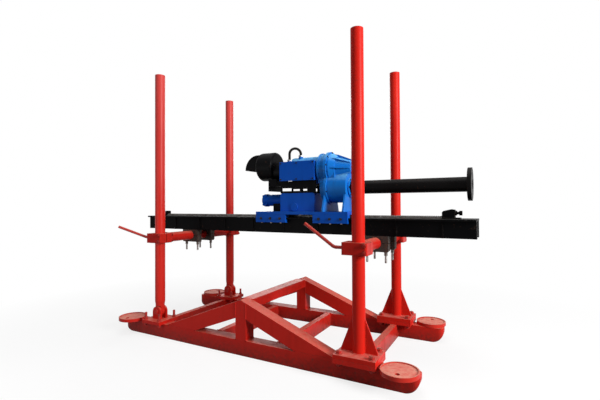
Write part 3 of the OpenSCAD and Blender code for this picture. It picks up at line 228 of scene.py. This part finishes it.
def painted(
    name, colour, faded, dust_and_sheen, dust_and_sheen_amount, chips, rough,
    primer=(0.085, 0.045, 0.03), edge=0.003, shine=0.2, bleach=0.0, rub=0.5,
):
    """Enamelled steel: the shared paint pattern on a coated shader, with its corners softened."""
    material = bpy.data.materials.new(name)
    material.use_nodes = True
    tree = material.node_tree
    skin = tree.nodes["Principled BSDF"]
    pattern = add(tree, "ShaderNodeGroup", node_tree=enamel)
    for socket, value in (("Colour", colour), ("Faded", faded), ("Dust And Sheen", dust_and_sheen), ("Primer", primer)):
        pattern.inputs[socket].default_value = (*value, 1.0)
    amounts = {
        "Dust Amount": dust_and_sheen_amount, "Chip Amount": chips, "Gloss Roughness": rough, "Bleach": bleach, "Edge": rub,
    }
    for socket, value in amounts.items():
        pattern.inputs[socket].default_value = value
    corner = add(tree, "ShaderNodeBevel", {"Radius": edge}, samples=4)
    relief = {"Height": pattern.outputs["Height"], "Normal": corner.outputs[0], "Strength": 0.035, "Distance": 0.0012}
    bump = add(tree, "ShaderNodeBump", relief)
    tree.links.new(pattern.outputs["Colour"], skin.inputs["Base Color"])
    tree.links.new(pattern.outputs["Roughness"], skin.inputs["Roughness"])
    tree.links.new(bump.outputs[0], skin.inputs["Normal"])
    skin.inputs["Specular IOR Level"].default_value = shine
    return material


def dress(material, *nodes):
    """Gives CAD nodes their finish."""
    for node in nodes:
        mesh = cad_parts[node].data
        mesh.materials.clear()
        mesh.materials.append(material)


# What faces up gets a salmon tint of dust and painted sky reflection.
sled_red = painted(
    "sled_enamel", (0.55, 0.014, 0.009), (0.60, 0.026, 0.014), (0.52, 0.18, 0.12),
    0.55, 0.8, 0.34, shine=0.1,
)
dress(
    sled_red, "runner_near", "runner_far", "post_near", "post_far", "brace_near_rear", "brace_near_front",
    "brace_far_rear", "brace_far_front", "ridge_beam", "cross_beam_rear", "cross_beam_front", "middle_beams",
    "front_seats", "rear_clevises",
)
# The pans' pale salmon top is dust with a painted sky reflection.
pan_red = painted(
    "pan_enamel", (0.52, 0.016, 0.010), (0.56, 0.05, 0.03), (0.62, 0.27, 0.20),
    0.85, 0.6, 0.36, shine=0.15,
)
dress(pan_red, "prop_pans")


def mesh_piece(name, corners, faces, material, body, slot, smooth=True):
    """Puts arrays of corners and faces into an object that rides on a body."""
    mesh = bpy.data.meshes.new(name)
    mesh.from_pydata(np.asarray(corners, float).tolist(), [], [list(map(int, face)) for face in faces])
    mesh.polygons.foreach_set("use_smooth", np.full(len(mesh.polygons), smooth))
    mesh.materials.append(material)
    mesh.update()
    piece = bpy.data.objects.new(name, mesh)
    bpy.context.collection.objects.link(piece)
    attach(piece, body)
    return piece


def swept(path, radii, sides):
    """Tube: at each point of the path, a circle of that radius stands square to the path's direction.

    Sideways is the cross product of the direction and a fixed axis that the path doesn't follow,
    and the corners are point + radius (cos a sideways + sin a upwards). Both ends are capped.
    """
    path = np.asarray(path, float)
    ahead = np.gradient(path, axis=0)
    ahead /= np.linalg.norm(ahead, axis=1)[:, None]
    axis = np.eye(3)[np.argmin(np.abs(ahead).max(axis=0))]
    side = np.cross(ahead, axis)
    side /= np.linalg.norm(side, axis=1)[:, None]
    rise = np.cross(side, ahead)
    angle = np.linspace(0.0, 2.0 * np.pi, sides, endpoint=False)
    ring = np.cos(angle)[None, :, None] * side[:, None, :] + np.sin(angle)[None, :, None] * rise[:, None, :]
    corners = path[:, None, :] + np.broadcast_to(radii, len(path))[:, None, None] * ring
    step, turn = np.meshgrid(np.arange(len(path) - 1), np.arange(sides), indexing="ij")
    first = step * sides + turn
    second = step * sides + (turn + 1) % sides
    walls = np.stack([first, first + sides, second + sides, second], axis=-1).reshape(-1, 4).tolist()
    ends = [list(range(sides)), list(range(len(path) * sides - 1, (len(path) - 1) * sides - 1, -1))]
    return corners.reshape(-1, 3), walls + ends


def joined(parts):
    """Several (corners, faces) pairs as one."""
    counts = np.cumsum([0] + [len(corners) for corners, _ in parts])
    faces = [[i + shift for i in face] for (_, some), shift in zip(parts, counts) for face in some]
    return np.concatenate([corners for corners, _ in parts]), faces


def outward(corners, faces):
    """Turns the faces round where the volume that they enclose, summed as fans of tetrahedra, is negative."""
    points = np.asarray(corners, float)
    fans = np.array([(face[0], face[i], face[i + 1]) for face in faces for i in range(1, len(face) - 1)])
    first, second, third = points[fans[:, 0]], points[fans[:, 1]], points[fans[:, 2]]
    if np.einsum("ij,ij->i", first, np.cross(second, third)).sum() < 0.0:
        faces = [face[::-1] for face in faces]
    return corners, faces


def weld(start, end, size=0.0045, ripple=0.006):
    """Straight weld bead: a swept tube whose radius swells once for each drop of metal."""
    start, end = np.asarray(start, float), np.asarray(end, float)
    length = np.linalg.norm(end - start)
    along = np.linspace(0.0, 1.0, max(4, int(length / ripple * 4)))
    drops = 1.0 + 0.16 * np.sin(along * length / ripple * 2.0 * np.pi)
    return swept(start + along[:, None] * (end - start), size * drops, 8)


def weld_ring(centre, radius, axis, size=0.0045, ripple=0.006):
    """Round weld bead: corner = centre + (R + s cos b) outwards + s sin b axis, closed both ways round.

    Outwards turns with the angle a, and the bead's radius s swells once for each drop of metal.
    """
    drops, sides = round(2.0 * np.pi * radius / ripple), 8
    steps = 4 * drops
    around = np.linspace(0.0, 2.0 * np.pi, steps, endpoint=False)
    angle = np.linspace(0.0, 2.0 * np.pi, sides, endpoint=False)
    first, second = np.roll(np.eye(3), -axis - 1, axis=0)[:2]
    out = np.cos(around)[:, None] * first + np.sin(around)[:, None] * second
    bead = size * (1.0 + 0.16 * np.sin(drops * around))[:, None]
    corners = np.asarray(centre, float) + (radius + bead * np.cos(angle))[:, :, None] * out[:, None, :]
    corners = corners + (bead * np.sin(angle))[:, :, None] * np.eye(3)[axis]
    step, turn = np.meshgrid(np.arange(steps), np.arange(sides), indexing="ij")
    here, there = step * sides, (step + 1) % steps * sides
    walls = np.stack([here + turn, there + turn, there + (turn + 1) % sides, here + (turn + 1) % sides], axis=-1)
    return outward(corners.reshape(-1, 3), walls.reshape(-1, 4).tolist())


sled_beads = []
brace_toe, brace_seam, seam_gap, ridge_gap = 0.483, 0.125, 0.004, 0.012
side_bead = 0.003
for post in ("post_near", "post_far"):
    low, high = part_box(post)
    for x in (low[0], high[0]):
        sled_beads.append(weld((x, low[1], low[2]), (x, high[1], low[2])))
    for toe in (-brace_toe, brace_toe):
        x = (low[0] + high[0]) / 2 + toe
        sled_beads.append(weld((x, low[1], low[2]), (x, high[1], low[2])))
for brace in ("brace_near_rear", "brace_near_front", "brace_far_rear", "brace_far_front"):
    low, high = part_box(brace)
    outer, inner = (low[0], high[0]) if "rear" in brace else (high[0], low[0])
    sled_beads.append(weld((outer, low[1], low[2]), (outer, high[1], low[2])))
    for y in (low[1], high[1]):
        seam = (inner, y, high[2] - brace_seam), (inner, y, high[2] - seam_gap)
        sled_beads.append(weld(*seam, side_bead))
low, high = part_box("ridge_beam")
for y in (low[1], high[1]):
    for x in (low[0], high[0]):
        sled_beads.append(weld((x, y, low[2]), (x, y, high[2] - ridge_gap)))
    sled_beads.append(weld((low[0], y, low[2]), (high[0], y, low[2])))
beam_w, beam_foot = 0.053, 0.01
beam_fronts = [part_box("cross_beam_rear")[1][0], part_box("cross_beam_front")[1][0]]
beam_fronts += [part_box("middle_beams")[0][0] + beam_w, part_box("middle_beams")[1][0]]
low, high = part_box("cross_beam_front")
for front in beam_fronts:
    for y in (low[1], high[1]):
        sled_beads.append(weld((front, y, low[2] + beam_foot), (front, y, high[2])))
        sled_beads.append(weld((front - beam_w, y, high[2]), (front, y, high[2])))
column_y, runner_half, seat_gap, seat_bead = 0.5, 0.053, 0.01, 0.004
for plate in ("front_seats", "rear_clevises"):
    low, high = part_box(plate)
    for side in (-column_y, column_y):
        for x in (low[0], high[0]):
            sled_beads.append(weld((x, side - runner_half, low[2]), (x, side + runner_half, low[2])))
        for edge in (side - runner_half, side + runner_half):
            seam = (low[0] + seat_gap, edge, low[2]), (high[0] - seat_gap, edge, low[2])
            sled_beads.append(weld(*seam, seat_bead))
low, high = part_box("prop_pans")
pan_middle, pan_seam = 0.565, 0.8
pan_r = high[1] - pan_middle
for x in (low[0] + pan_r, high[0] - pan_r):
    for side in (-1, 1):
        y = side * (column_y + runner_half)
        sled_beads.append(weld((x - pan_seam * pan_r, y, low[2]), (x + pan_seam * pan_r, y, low[2]), seat_bead))
mesh_piece("sled_welds", *joined(sled_beads), sled_red, "sled", "red_paint")

# The columns are drawn steel tubes in the same enamel, bleached chalky towards their tops.
# The front pair is welded to gusseted flanges, the rear pair stands in pinned clevises.
column_red = painted(
    "column_enamel", (0.56, 0.013, 0.007), (0.60, 0.022, 0.011), (0.45, 0.24, 0.19),
    0.5, 0.25, 0.36, shine=0.08,
)
chalky_red = painted(
    "chalky_enamel", (0.58, 0.016, 0.009), (0.62, 0.032, 0.018), (0.45, 0.24, 0.19),
    0.5, 0.25, 0.36, shine=0.18, bleach=0.20,
)
dress(column_red, "column_front_near", "column_front_far")
dress(chalky_red, "column_rear_near", "column_rear_far")
column_r, flange_top = 0.0445, 0.180
tubes = ("front_cross_tube", "rear_cross_tube")
front_x, rear_x = (sum(corner[0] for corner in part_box(tube)) / 2 for tube in tubes)
gusset_half, gusset_heel, gusset_foot = 0.006, 0.05, 0.125
gusset_low, gusset_top, gusset_bead, column_seam = 0.01, 0.215, 0.003, 0.002
column_beads = []
for y in (-column_y, column_y):
    column_beads.append(weld_ring((front_x, y, flange_top), column_r + column_seam, 2))
    for way in (-1, 1):
        for face in (y - gusset_half, y + gusset_half):
            heel, foot = (front_x + way * reach for reach in (gusset_heel, gusset_foot))
            column_beads.append(weld((heel, face, flange_top), (foot, face, flange_top), gusset_bead))
            wall = front_x + way * column_r
            seam = (wall, face, flange_top + gusset_low), (wall, face, flange_top + gusset_top)
            column_beads.append(weld(*seam, gusset_bead))
mesh_piece("column_welds", *joined(column_beads), column_red, "sled", "red_paint")


# Base bolts, studs and pins are steel under a brushed coat of the same red, on flat washers.
# Bare metal elsewhere on the rig shows tarnish, rust and scratches.
def make_metal_wear():
    """Bare metal: cloudy tarnish, rust in patches and fine scratches along one way."""
    tree, given, put = shader_group(
        "bare_metal",
        [("Metal", "colour"), ("Tarnish", "colour"), ("Rust", "colour"),
         ("Rust Amount", "value"), ("Smooth", "value")],
        [("Colour", "colour"), ("Roughness", "value"), ("Metallic", "value"), ("Height", "value")],
    )
    cloud = noise(tree, 22.0, 5.0)
    scratch = noise(tree, 60.0, 3.0, (1.0, 1.0, 14.0))
    patch = noise(tree, 45.0, 8.0)
    colour = blend(tree, ramp(tree, cloud, 0.35, 0.7), given["Metal"], given["Tarnish"])
    rusty = times(tree, ramp(tree, patch, 0.48, 0.62), given["Rust Amount"])
    tree.links.new(blend(tree, rusty, colour, given["Rust"]), put["Colour"])
    scored = ramp(tree, scratch, 0.3, 0.7, -0.06, 0.10)
    rough = add(tree, "ShaderNodeMath", {0: given["Smooth"], 1: scored}).outputs[0]
    tree.links.new(add(tree, "ShaderNodeMath", {0: rough, 1: times(tree, rusty, 0.4)}).outputs[0], put["Roughness"])
    tree.links.new(ramp(tree, rusty, 0.0, 1.0, 1.0, 0.0), put["Metallic"])
    grain = add(tree, "ShaderNodeMath", {0: times(tree, scratch, 0.3), 1: times(tree, patch, 0.5)}).outputs[0]
    tree.links.new(grain, put["Height"])
    return tree


bare_metal = make_metal_wear()


def metal(name, colour, tarnish, rust, rust_amount, smooth, edge=0.001):
    """Bare steel: the shared metal pattern on a metallic shader."""
    material = bpy.data.materials.new(name)
    material.use_nodes = True
    tree = material.node_tree
    skin = tree.nodes["Principled BSDF"]
    pattern = add(tree, "ShaderNodeGroup", node_tree=bare_metal)
    for socket, value in (("Metal", colour), ("Tarnish", tarnish), ("Rust", rust)):
        pattern.inputs[socket].default_value = (*value, 1.0)
    pattern.inputs["Rust Amount"].default_value = rust_amount
    pattern.inputs["Smooth"].default_value = smooth
    corner = add(tree, "ShaderNodeBevel", {"Radius": edge}, samples=4)
    relief = {"Height": pattern.outputs["Height"], "Normal": corner.outputs[0], "Strength": 0.2, "Distance": 0.0008}
    bump = add(tree, "ShaderNodeBump", relief)
    tree.links.new(pattern.outputs["Colour"], skin.inputs["Base Color"])
    tree.links.new(pattern.outputs["Roughness"], skin.inputs["Roughness"])
    tree.links.new(pattern.outputs["Metallic"], skin.inputs["Metallic"])
    tree.links.new(bump.outputs[0], skin.inputs["Normal"])
    return material


def lathe(along, radius, centre, axis, sides=24, loop=False):
    """Turned piece: corner = centre + d axis + r (cos a first + sin a second) over the rows (d, r) and the angles a.

    The radius is one number a row, or one a row and angle for a thread. A loop's last row joins
    its first one again, as on a washer; other pieces get a cap at each end.
    """
    along = np.asarray(along, float)
    radius = np.asarray(radius, float)
    radius = np.broadcast_to(radius[:, None], (len(along), sides)) if radius.ndim == 1 else radius
    first, second = np.roll(np.eye(3), -axis - 1, axis=0)[:2]
    angle = np.linspace(0.0, 2.0 * np.pi, sides, endpoint=False)
    ring = np.cos(angle)[:, None] * first + np.sin(angle)[:, None] * second
    corners = np.asarray(centre, float) + along[:, None, None] * np.eye(3)[axis] + radius[:, :, None] * ring[None]
    rows = len(along)
    step, turn = np.meshgrid(np.arange(rows if loop else rows - 1), np.arange(sides), indexing="ij")
    here, there = step * sides, (step + 1) % rows * sides
    walls = np.stack([here + turn, there + turn, there + (turn + 1) % sides, here + (turn + 1) % sides], axis=-1)
    faces = walls.reshape(-1, 4).tolist()
    if not loop:
        faces += [list(range(sides))[::-1], list(range((rows - 1) * sides, rows * sides))]
    return outward(corners.reshape(-1, 3), faces)


def washer(centre, axis, hole, rim, thick):
    """Flat ring with rounded edges, lying on the centre and rising along the axis."""
    edge = 0.25 * abs(thick)
    along = np.sign(thick) * np.array([0.0, 0.0, edge, abs(thick) - edge, abs(thick), abs(thick)])
    return lathe(along, [hole, rim - edge, rim, rim, rim - edge, hole], centre, axis, 32, loop=True)


def thread(centre, axis, start, end, radius, pitch, sides=20):
    """Screw thread: the radius is a triangle wave of d / pitch - a / (2 pi), and it tapers at the end."""
    along = np.linspace(start, end, max(8, int(abs(end - start) / pitch * 6)))
    angle = np.linspace(0.0, 1.0, sides, endpoint=False)
    wave = np.abs(2.0 * ((along[:, None] / pitch - angle[None, :]) % 1.0) - 1.0)
    taper = 1.0 - 0.22 * np.clip(1.0 - np.abs(end - along) / (1.5 * pitch), 0.0, 1.0) ** 2
    return lathe(along, radius * (1.0 + 0.07 * wave) * taper[:, None], centre, axis, sides)


painted_bolt = painted(
    "bolt_enamel", (0.42, 0.016, 0.012), (0.34, 0.03, 0.02), (0.30, 0.16, 0.12),
    0.6, 1.0, 0.4, edge=0.001,
)
stud_end = metal("stud_end_steel", (0.30, 0.28, 0.27), (0.17, 0.15, 0.14), (0.12, 0.05, 0.03), 0.6, 0.42)
pin_red = painted(
    "pin_enamel", (0.46, 0.016, 0.012), (0.40, 0.03, 0.02), (0.30, 0.16, 0.12),
    0.4, 1.0, 0.36, edge=0.001,
)
dress(painted_bolt, "base_bolts")
dress(pin_red, "clevis_pins")
seat_x, seat_y, stud_at = 0.115, 0.082, 0.085
clevis_top, nut_h, stud_r, stud_pitch = 0.150, 0.016, 0.0102, 0.0025
stud_top, thread_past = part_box("base_bolts")[1][2], 0.001
seat_washer, stud_washer = (0.0125, 0.024, 0.004), (0.0105, 0.020, 0.0035)
base_threads, base_washers = [], []
for side in (-column_y, column_y):
    for way in (-1, 1):
        for across in (-1, 1):
            at = (front_x + way * seat_x, side + across * seat_y, flange_top)
            base_washers.append(washer(at, 2, *seat_washer))
            stud = (rear_x + way * stud_at, side + across * stud_at, 0.0)
            base_threads.append(thread(stud, 2, clevis_top + nut_h, stud_top + thread_past, stud_r, stud_pitch))
            base_washers.append(washer((stud[0], stud[1], clevis_top), 2, *stud_washer))
mesh_piece("base_threads", *joined(base_threads), painted_bolt, "sled", "red_paint")
mesh_piece("base_washers", *joined(base_washers), painted_bolt, "sled", "red_paint")

# The cross tubes and their cast column clamps share the columns' enamel, brushed over their pinch bolts;
# bent screw levers lock the clamps.
clamp_red = painted(
    "clamp_enamel", (0.44, 0.011, 0.007), (0.50, 0.022, 0.012), (0.42, 0.20, 0.14),
    0.5, 0.9, 0.32, shine=0.08,
)
lever_red = painted(
    "lever_enamel", (0.46, 0.022, 0.014), (0.40, 0.045, 0.03), (0.40, 0.22, 0.16),
    0.4, 1.0, 0.30, edge=0.001,
)
dress(clamp_red, "front_cross_tube", "front_clamps", "rear_cross_tube", "rear_clamps")
pinch_red = painted(
    "pinch_enamel", (0.30, 0.010, 0.008), (0.26, 0.020, 0.014), (0.30, 0.16, 0.12),
    0.4, 1.0, 0.4, edge=0.001, shine=0.1,
)
dress(pinch_red, "front_clamp_bolts", "rear_clamp_bolts")
dress(lever_red, "handle_front_near", "handle_front_far", "handle_rear_near", "handle_rear_far")
tube_z, tube_seam_y, tube_seam_r, tube_bead = 0.882, 0.428, 0.0455, 0.004
for body, x in (("front_cross", front_x), ("rear_cross", rear_x)):
    rings = [weld_ring((x, way * tube_seam_y, tube_z), tube_seam_r, 1, tube_bead) for way in (-1, 1)]
    mesh_piece(body + "_welds", *joined(rings), clamp_red, body, "red_paint")
clamp_half, head_r = 0.072, 0.0139
pinch_hole, pinch_rim, pinch_t = 0.0085, 0.0165, 0.003
for body in ("front_cross", "rear_cross"):
    low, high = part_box(body.replace("_cross", "_clamp_bolts"))
    pinch_x = (low[0] + high[0]) / 2
    rings = []
    for side in (-column_y, column_y):
        for face in (-1, 1):
            for z in (low[2] + head_r, high[2] - head_r):
                at = (pinch_x, side + face * clamp_half, z)
                rings.append(washer(at, 1, pinch_hole, pinch_rim, face * pinch_t))
    mesh_piece(body + "_washers", *joined(rings), pinch_red, body, "zinc_steel")

# The saddles are rough cast iron blocks, browned with rust. Long threaded studs with nuts and washers
# draw them round the cross tubes and hang the rail on them.
cast_brown = metal("saddle_iron", (0.055, 0.045, 0.04), (0.035, 0.028, 0.026), (0.075, 0.03, 0.016), 0.75, 0.62)
stud_brown = metal("stud_steel", (0.16, 0.14, 0.13), (0.09, 0.075, 0.07), (0.10, 0.05, 0.03), 0.6, 0.5)
dress(cast_brown, "rear_saddles", "front_saddles")
dress(stud_brown, "rear_saddle_studs", "front_saddle_studs")
saddle_y, saddle_nut, saddle_stud_r, saddle_pitch = 0.0955, 0.0282, 0.0082, 0.002
saddle_washer = (0.0085, 0.017, -0.003)
for body, node, caps, x in (
    ("rail", "front_saddle_studs", "front_saddles", front_x),
    ("rear_saddle", "rear_saddle_studs", "rear_saddles", rear_x),
):
    low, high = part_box(node)
    yoke_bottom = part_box(caps)[0][2]
    reach = (high[0] - low[0]) / 2 - head_r
    ends, rings = [], []
    for way in (-1, 1):
        for y in (-saddle_y, saddle_y):
            stud = (x + way * reach, y, 0.0)
            reach_z = yoke_bottom - saddle_nut, low[2] - thread_past
            ends.append(thread(stud, 2, *reach_z, saddle_stud_r, saddle_pitch))
            rings.append(washer((stud[0], stud[1], yoke_bottom), 2, *saddle_washer))
    mesh_piece(node + "_threads", *joined(ends), stud_end, body, "dark_steel")
    mesh_piece(node + "_washers", *joined(rings), stud_brown, body, "dark_steel")

# The rail is two steel channels welded under a flat deck, in thick satin black paint.
# Ribs stiffen its sides, and a toothed rack of bare steel lies along the deck.
rail_black = painted(
    "rail_black", (0.0015, 0.0015, 0.0018), (0.004, 0.004, 0.0045), (0.05, 0.048, 0.045),
    0.4, 0.6, 0.42, (0.04, 0.024, 0.018), shine=0.03,
)
dress(rail_black, "rail_side_near", "rail_side_far", "rail_deck", "rear_stop", "front_stop")
rail_low, rail_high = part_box("rail_side_near")
rib_out, rib_t, rib_pitch, rib_shift, rib_gap = 0.008, 0.008, 0.325, 0.080, 0.012
stitch, stitch_pitch, stitch_first, stitch_last, stop_nose = 0.07, 0.24, 0.06, 0.1, 0.048
deck_bead, rib_bead, stop_bead = 0.0035, 0.0028, 0.004
web_y = -rail_low[1] - rib_out
rail_beads = []
for side in (-web_y, web_y):
    for x in np.arange(rail_low[0] + stitch_first, rail_high[0] - stitch_last, stitch_pitch):
        rail_beads.append(weld((x, side, rail_high[2]), (x + stitch, side, rail_high[2]), deck_bead))
    for rib in range(-4, 5):
        for x in (rib * rib_pitch + rib_shift, rib * rib_pitch + rib_shift + rib_t):
            seam = (x, side, rail_low[2] + rib_gap), (x, side, rail_high[2] - rib_gap)
            rail_beads.append(weld(*seam, rib_bead))
for stop in ("rear_stop", "front_stop"):
    low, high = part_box(stop)
    end = high[0] - (stop_nose if stop == "front_stop" else 0.0)
    for y in (low[1], high[1]):
        rail_beads.append(weld((low[0], y, low[2]), (end, y, low[2]), stop_bead))
mesh_piece("rail_welds", *joined(rail_beads), rail_black, "rail", "black_paint")
rack_steel = metal("rack_steel", (0.16, 0.155, 0.15), (0.09, 0.085, 0.08), (0.08, 0.045, 0.025), 0.4, 0.45)
dress(rack_steel, "feed_rack")

# The carriage, gear casings and motor are castings and plate in one bright blue machine enamel, with dust and a
# painted sky reflection on top.
# The fan cowl and the bracket under the motor are steel sheet and plate in black; the bracket's black is partly
# painted shade under the motor.
# The plate, boxes and feed drive take a darker copy of the blue, which is painted shade.
shaded_machine_blue = painted(
    "shaded_machine_blue", (0.001, 0.070, 0.43), (0.002, 0.090, 0.50), (0.05, 0.22, 0.50),
    0.4, 0.4, 0.36, (0.03, 0.03, 0.04), shine=0.06,
)
# The castings take a lighter copy of the blue, which is painted light, and a pale blue top of painted light with
# dust.
lit_casting_blue = painted(
    "lit_casting_blue", (0.004, 0.13, 0.49), (0.008, 0.18, 0.56), (0.17, 0.50, 0.80),
    1.0, 0.4, 0.34, (0.03, 0.03, 0.04), shine=0.10,
)
dress(shaded_machine_blue, "carriage_plate", "carriage_skirts", "terminal_box", "feed_gearbox", "feed_motor")
dress(lit_casting_blue, "motor_frame", "gear_case", "gear_cover", "spindle_housing")
cowl_black = painted(
    "cowl_black", (0.0018, 0.0018, 0.0022), (0.004, 0.004, 0.005), (0.014, 0.014, 0.016),
    0.3, 0.3, 0.33, shine=0.04,
)
# Black plate under the motor, its black partly painted shade.
bracket_black_and_shade = painted(
    "bracket_black_and_shade", (0.0015, 0.0015, 0.0018), (0.003, 0.003, 0.0036), (0.02, 0.02, 0.02),
    0.4, 0.4, 0.42, (0.03, 0.02, 0.016), shine=0.03,
)
dress(cowl_black, "fan_cowl")
dress(bracket_black_and_shade, "motor_bracket")
skirt_bolt = metal("skirt_bolts", (0.022, 0.021, 0.022), (0.010, 0.010, 0.011), (0.014, 0.009, 0.008), 0.35, 0.5)
dress(skirt_bolt, "carriage_bolts")


# The terminal box's lid is a steel plate, drawn down by six screws on a round rubber seal,
# which shows as a dark line behind the lid.
def closed_tube(path, radius, sides, axis):
    """Tube round a closed path in a plane: corner = point + r (cos a outwards + sin a axis)."""
    path = np.asarray(path, float)
    ahead = np.roll(path, -1, axis=0) - np.roll(path, 1, axis=0)
    out = np.cross(ahead, np.eye(3)[axis])
    out /= np.linalg.norm(out, axis=1)[:, None]
    angle = np.linspace(0.0, 2.0 * np.pi, sides, endpoint=False)
    ring = np.cos(angle)[None, :, None] * out[:, None, :] + np.sin(angle)[None, :, None] * np.eye(3)[axis]
    corners = path[:, None, :] + radius * ring
    step, turn = np.meshgrid(np.arange(len(path)), np.arange(sides), indexing="ij")
    here, there = step * sides, (step + 1) % len(path) * sides
    walls = np.stack([here + turn, there + turn, there + (turn + 1) % sides, here + (turn + 1) % sides], axis=-1)
    return outward(corners.reshape(-1, 3), walls.reshape(-1, 4).tolist())


rubber = painted(
    "seal_rubber", (0.004, 0.004, 0.004), (0.008, 0.008, 0.008), (0.03, 0.03, 0.03),
    0.4, 0.0, 0.6, shine=0.1,
)
box_low, box_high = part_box("terminal_box")
gland_rise, lid_t, seal_inset, seal_r, seal_bend = 0.018, 0.012, 0.0035, 0.0022, 0.010
lid_h = box_high[2] - box_low[2] - gland_rise
seal = []
for x, z, start in (
    (box_high[0], box_low[2] + lid_h, 0.0), (box_low[0], box_low[2] + lid_h, 0.5),
    (box_low[0], box_low[2], 1.0), (box_high[0], box_low[2], 1.5),
):
    way_x, way_z = (1 if start in (0.0, 1.5) else -1), (1 if start < 1.0 else -1)
    for angle in np.linspace(start, start + 0.5, 7) * np.pi:
        seal.append((
            x - way_x * (seal_inset + seal_bend) + seal_bend * math.cos(angle), box_low[1] + lid_t,
            z - way_z * (seal_inset + seal_bend) + seal_bend * math.sin(angle),
        ))
mesh_piece("lid_seal", *closed_tube(seal, seal_r, 8, 1), rubber, "carriage", "black_paint")

# The motor's lead runs through a stiff ribbed conduit of black plastic,
# bent over in one arch and held by a hexagon nut at each end.
conduit_low, conduit_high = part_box("motor_conduit")
conduit_r, rib_step, tuck, straight_n = 0.0115, 0.0052, 0.016, 60
foot, far = np.array(conduit_low) + conduit_r, np.array(conduit_high) - conduit_r
span = np.linalg.norm((far - foot)[:2])
bend_z = far[2] - span / 2
gland_top = (box_high[2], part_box("motor_frame")[1][2])
middle = (foot + far)[:2] / 2
rise = np.linspace(gland_top[0] - tuck, bend_z, straight_n, endpoint=False)
fall = np.linspace(bend_z, gland_top[1] - tuck, straight_n)
arch = np.linspace(np.pi, 0.0, 160, endpoint=False)
route = np.concatenate([
    np.column_stack([np.tile(foot[:2], (straight_n, 1)), rise]),
    np.column_stack([middle + np.cos(arch)[:, None] * (far - foot)[:2] / 2, bend_z + span / 2 * np.sin(arch)]),
    np.column_stack([np.tile(far[:2], (straight_n, 1)), fall]),
])
run = np.concatenate([[0.0], np.cumsum(np.linalg.norm(np.diff(route, axis=0), axis=1))])
even = np.linspace(0.0, run[-1], int(run[-1] / rib_step * 6))
route = np.column_stack([np.interp(even, run, route[:, i]) for i in range(3)])
ribs = conduit_r * (0.96 + 0.05 * np.sin(even / rib_step * 2.0 * np.pi))
conduit_black = painted(
    "conduit_black", (0.003, 0.003, 0.0033), (0.007, 0.007, 0.0075), (0.03, 0.03, 0.03),
    0.4, 0.0, 0.45, shine=0.08,
)
conduit = mesh_piece("ribbed_conduit", *outward(*swept(route, ribs, 14)), conduit_black, "carriage", "black_paint")
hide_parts("motor_conduit")
nut_rows, nut_radii = [-0.012, -0.0105, 0.0015, 0.003], [0.0212, 0.0226, 0.0226, 0.0205]
nuts = [
    lathe(nut_rows, nut_radii, (at[0], at[1], top), 2, 6)
    for at, top in ((foot, gland_top[0]), (far, gland_top[1]))
]
gland_metal = metal("gland_nickel", (0.20, 0.20, 0.20), (0.11, 0.11, 0.11), (0.04, 0.03, 0.02), 0.2, 0.35)
mesh_piece("gland_nuts", *joined(nuts), gland_metal, "carriage", "dark_steel", smooth=False)

# The fan draws through a guard of steel wire rings in the cowl's black,
# welded on four spokes and set in the inlet under the hood.
cowl_low, cowl_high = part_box("fan_cowl")
cowl_r, hood_r, wire, guard_depth = 0.130, 0.137, 0.0016, 0.0015
ring_first, ring_last, spoke_first, spoke_last = 0.022, 0.0885, 0.020, 0.091
inlet = np.array((cowl_low[0] + hood_r + guard_depth, 0.0, cowl_high[2] - cowl_r))
bend = np.linspace(0.0, 2.0 * np.pi, 8, endpoint=False)
guard = [
    lathe(wire * np.sin(bend), radius + wire * np.cos(bend), inlet, 0, 72, loop=True)
    for radius in np.linspace(ring_first, ring_last, 8)
]
for angle in np.arange(4) * np.pi / 2 + np.pi / 4:
    spoke = np.array((0.0, math.cos(angle), math.sin(angle)))
    run_out = np.linspace(spoke_first, spoke_last, 8)[:, None] * spoke
    guard.append(outward(*swept(inlet + run_out + (2 * wire, 0.0, 0.0), wire, 8)))
mesh_piece("fan_guard", *joined(guard), cowl_black, "carriage", "black_paint")

# Keeper strips hold the skirts down under the deck.
# Hexagon bolts of plain steel, six a side, are put in from below.
skirt_low, skirt_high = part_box("carriage_skirts")
skirt_l, bolt_pitch, keeper_gap = 0.305, 0.096, 0.003
keeper_y = web_y + rib_out + keeper_gap
head_rows, head_radii = [0.0, -0.0055, -0.0068], [0.0095, 0.0095, 0.0082]
heads = []
for x0 in (skirt_low[0] + skirt_l / 2, skirt_high[0] - skirt_l / 2):
    for x in (x0 - bolt_pitch, x0, x0 + bolt_pitch):
        for way in (-1, 1):
            at = (x, way * (keeper_y + skirt_high[1]) / 2, skirt_low[2])
            heads.append(lathe(head_rows, head_radii, at, 2, 6))
mesh_piece("keeper_bolts", *joined(heads), stud_end, "carriage", "zinc_steel", smooth=False)

# The spindle is a thick steel tube with a flange, painted black and browned where it is chipped.
# The gears, shafts and bearings inside are cut and turned from bright steel.
spindle_black = painted(
    "spindle_black", (0.0022, 0.0020, 0.0020), (0.006, 0.005, 0.0048), (0.03, 0.026, 0.024),
    0.35, 0.7, 0.38, (0.05, 0.026, 0.018), shine=0.05,
)
dress(spindle_black, "spindle_tube")
gear_steel = metal("gear_steel", (0.50, 0.49, 0.48), (0.34, 0.33, 0.32), (0.12, 0.08, 0.05), 0.15, 0.28)
dress(gear_steel, "bearings", "spindle_gear", "lay_shaft", "motor_rotor", "feed_pinion")
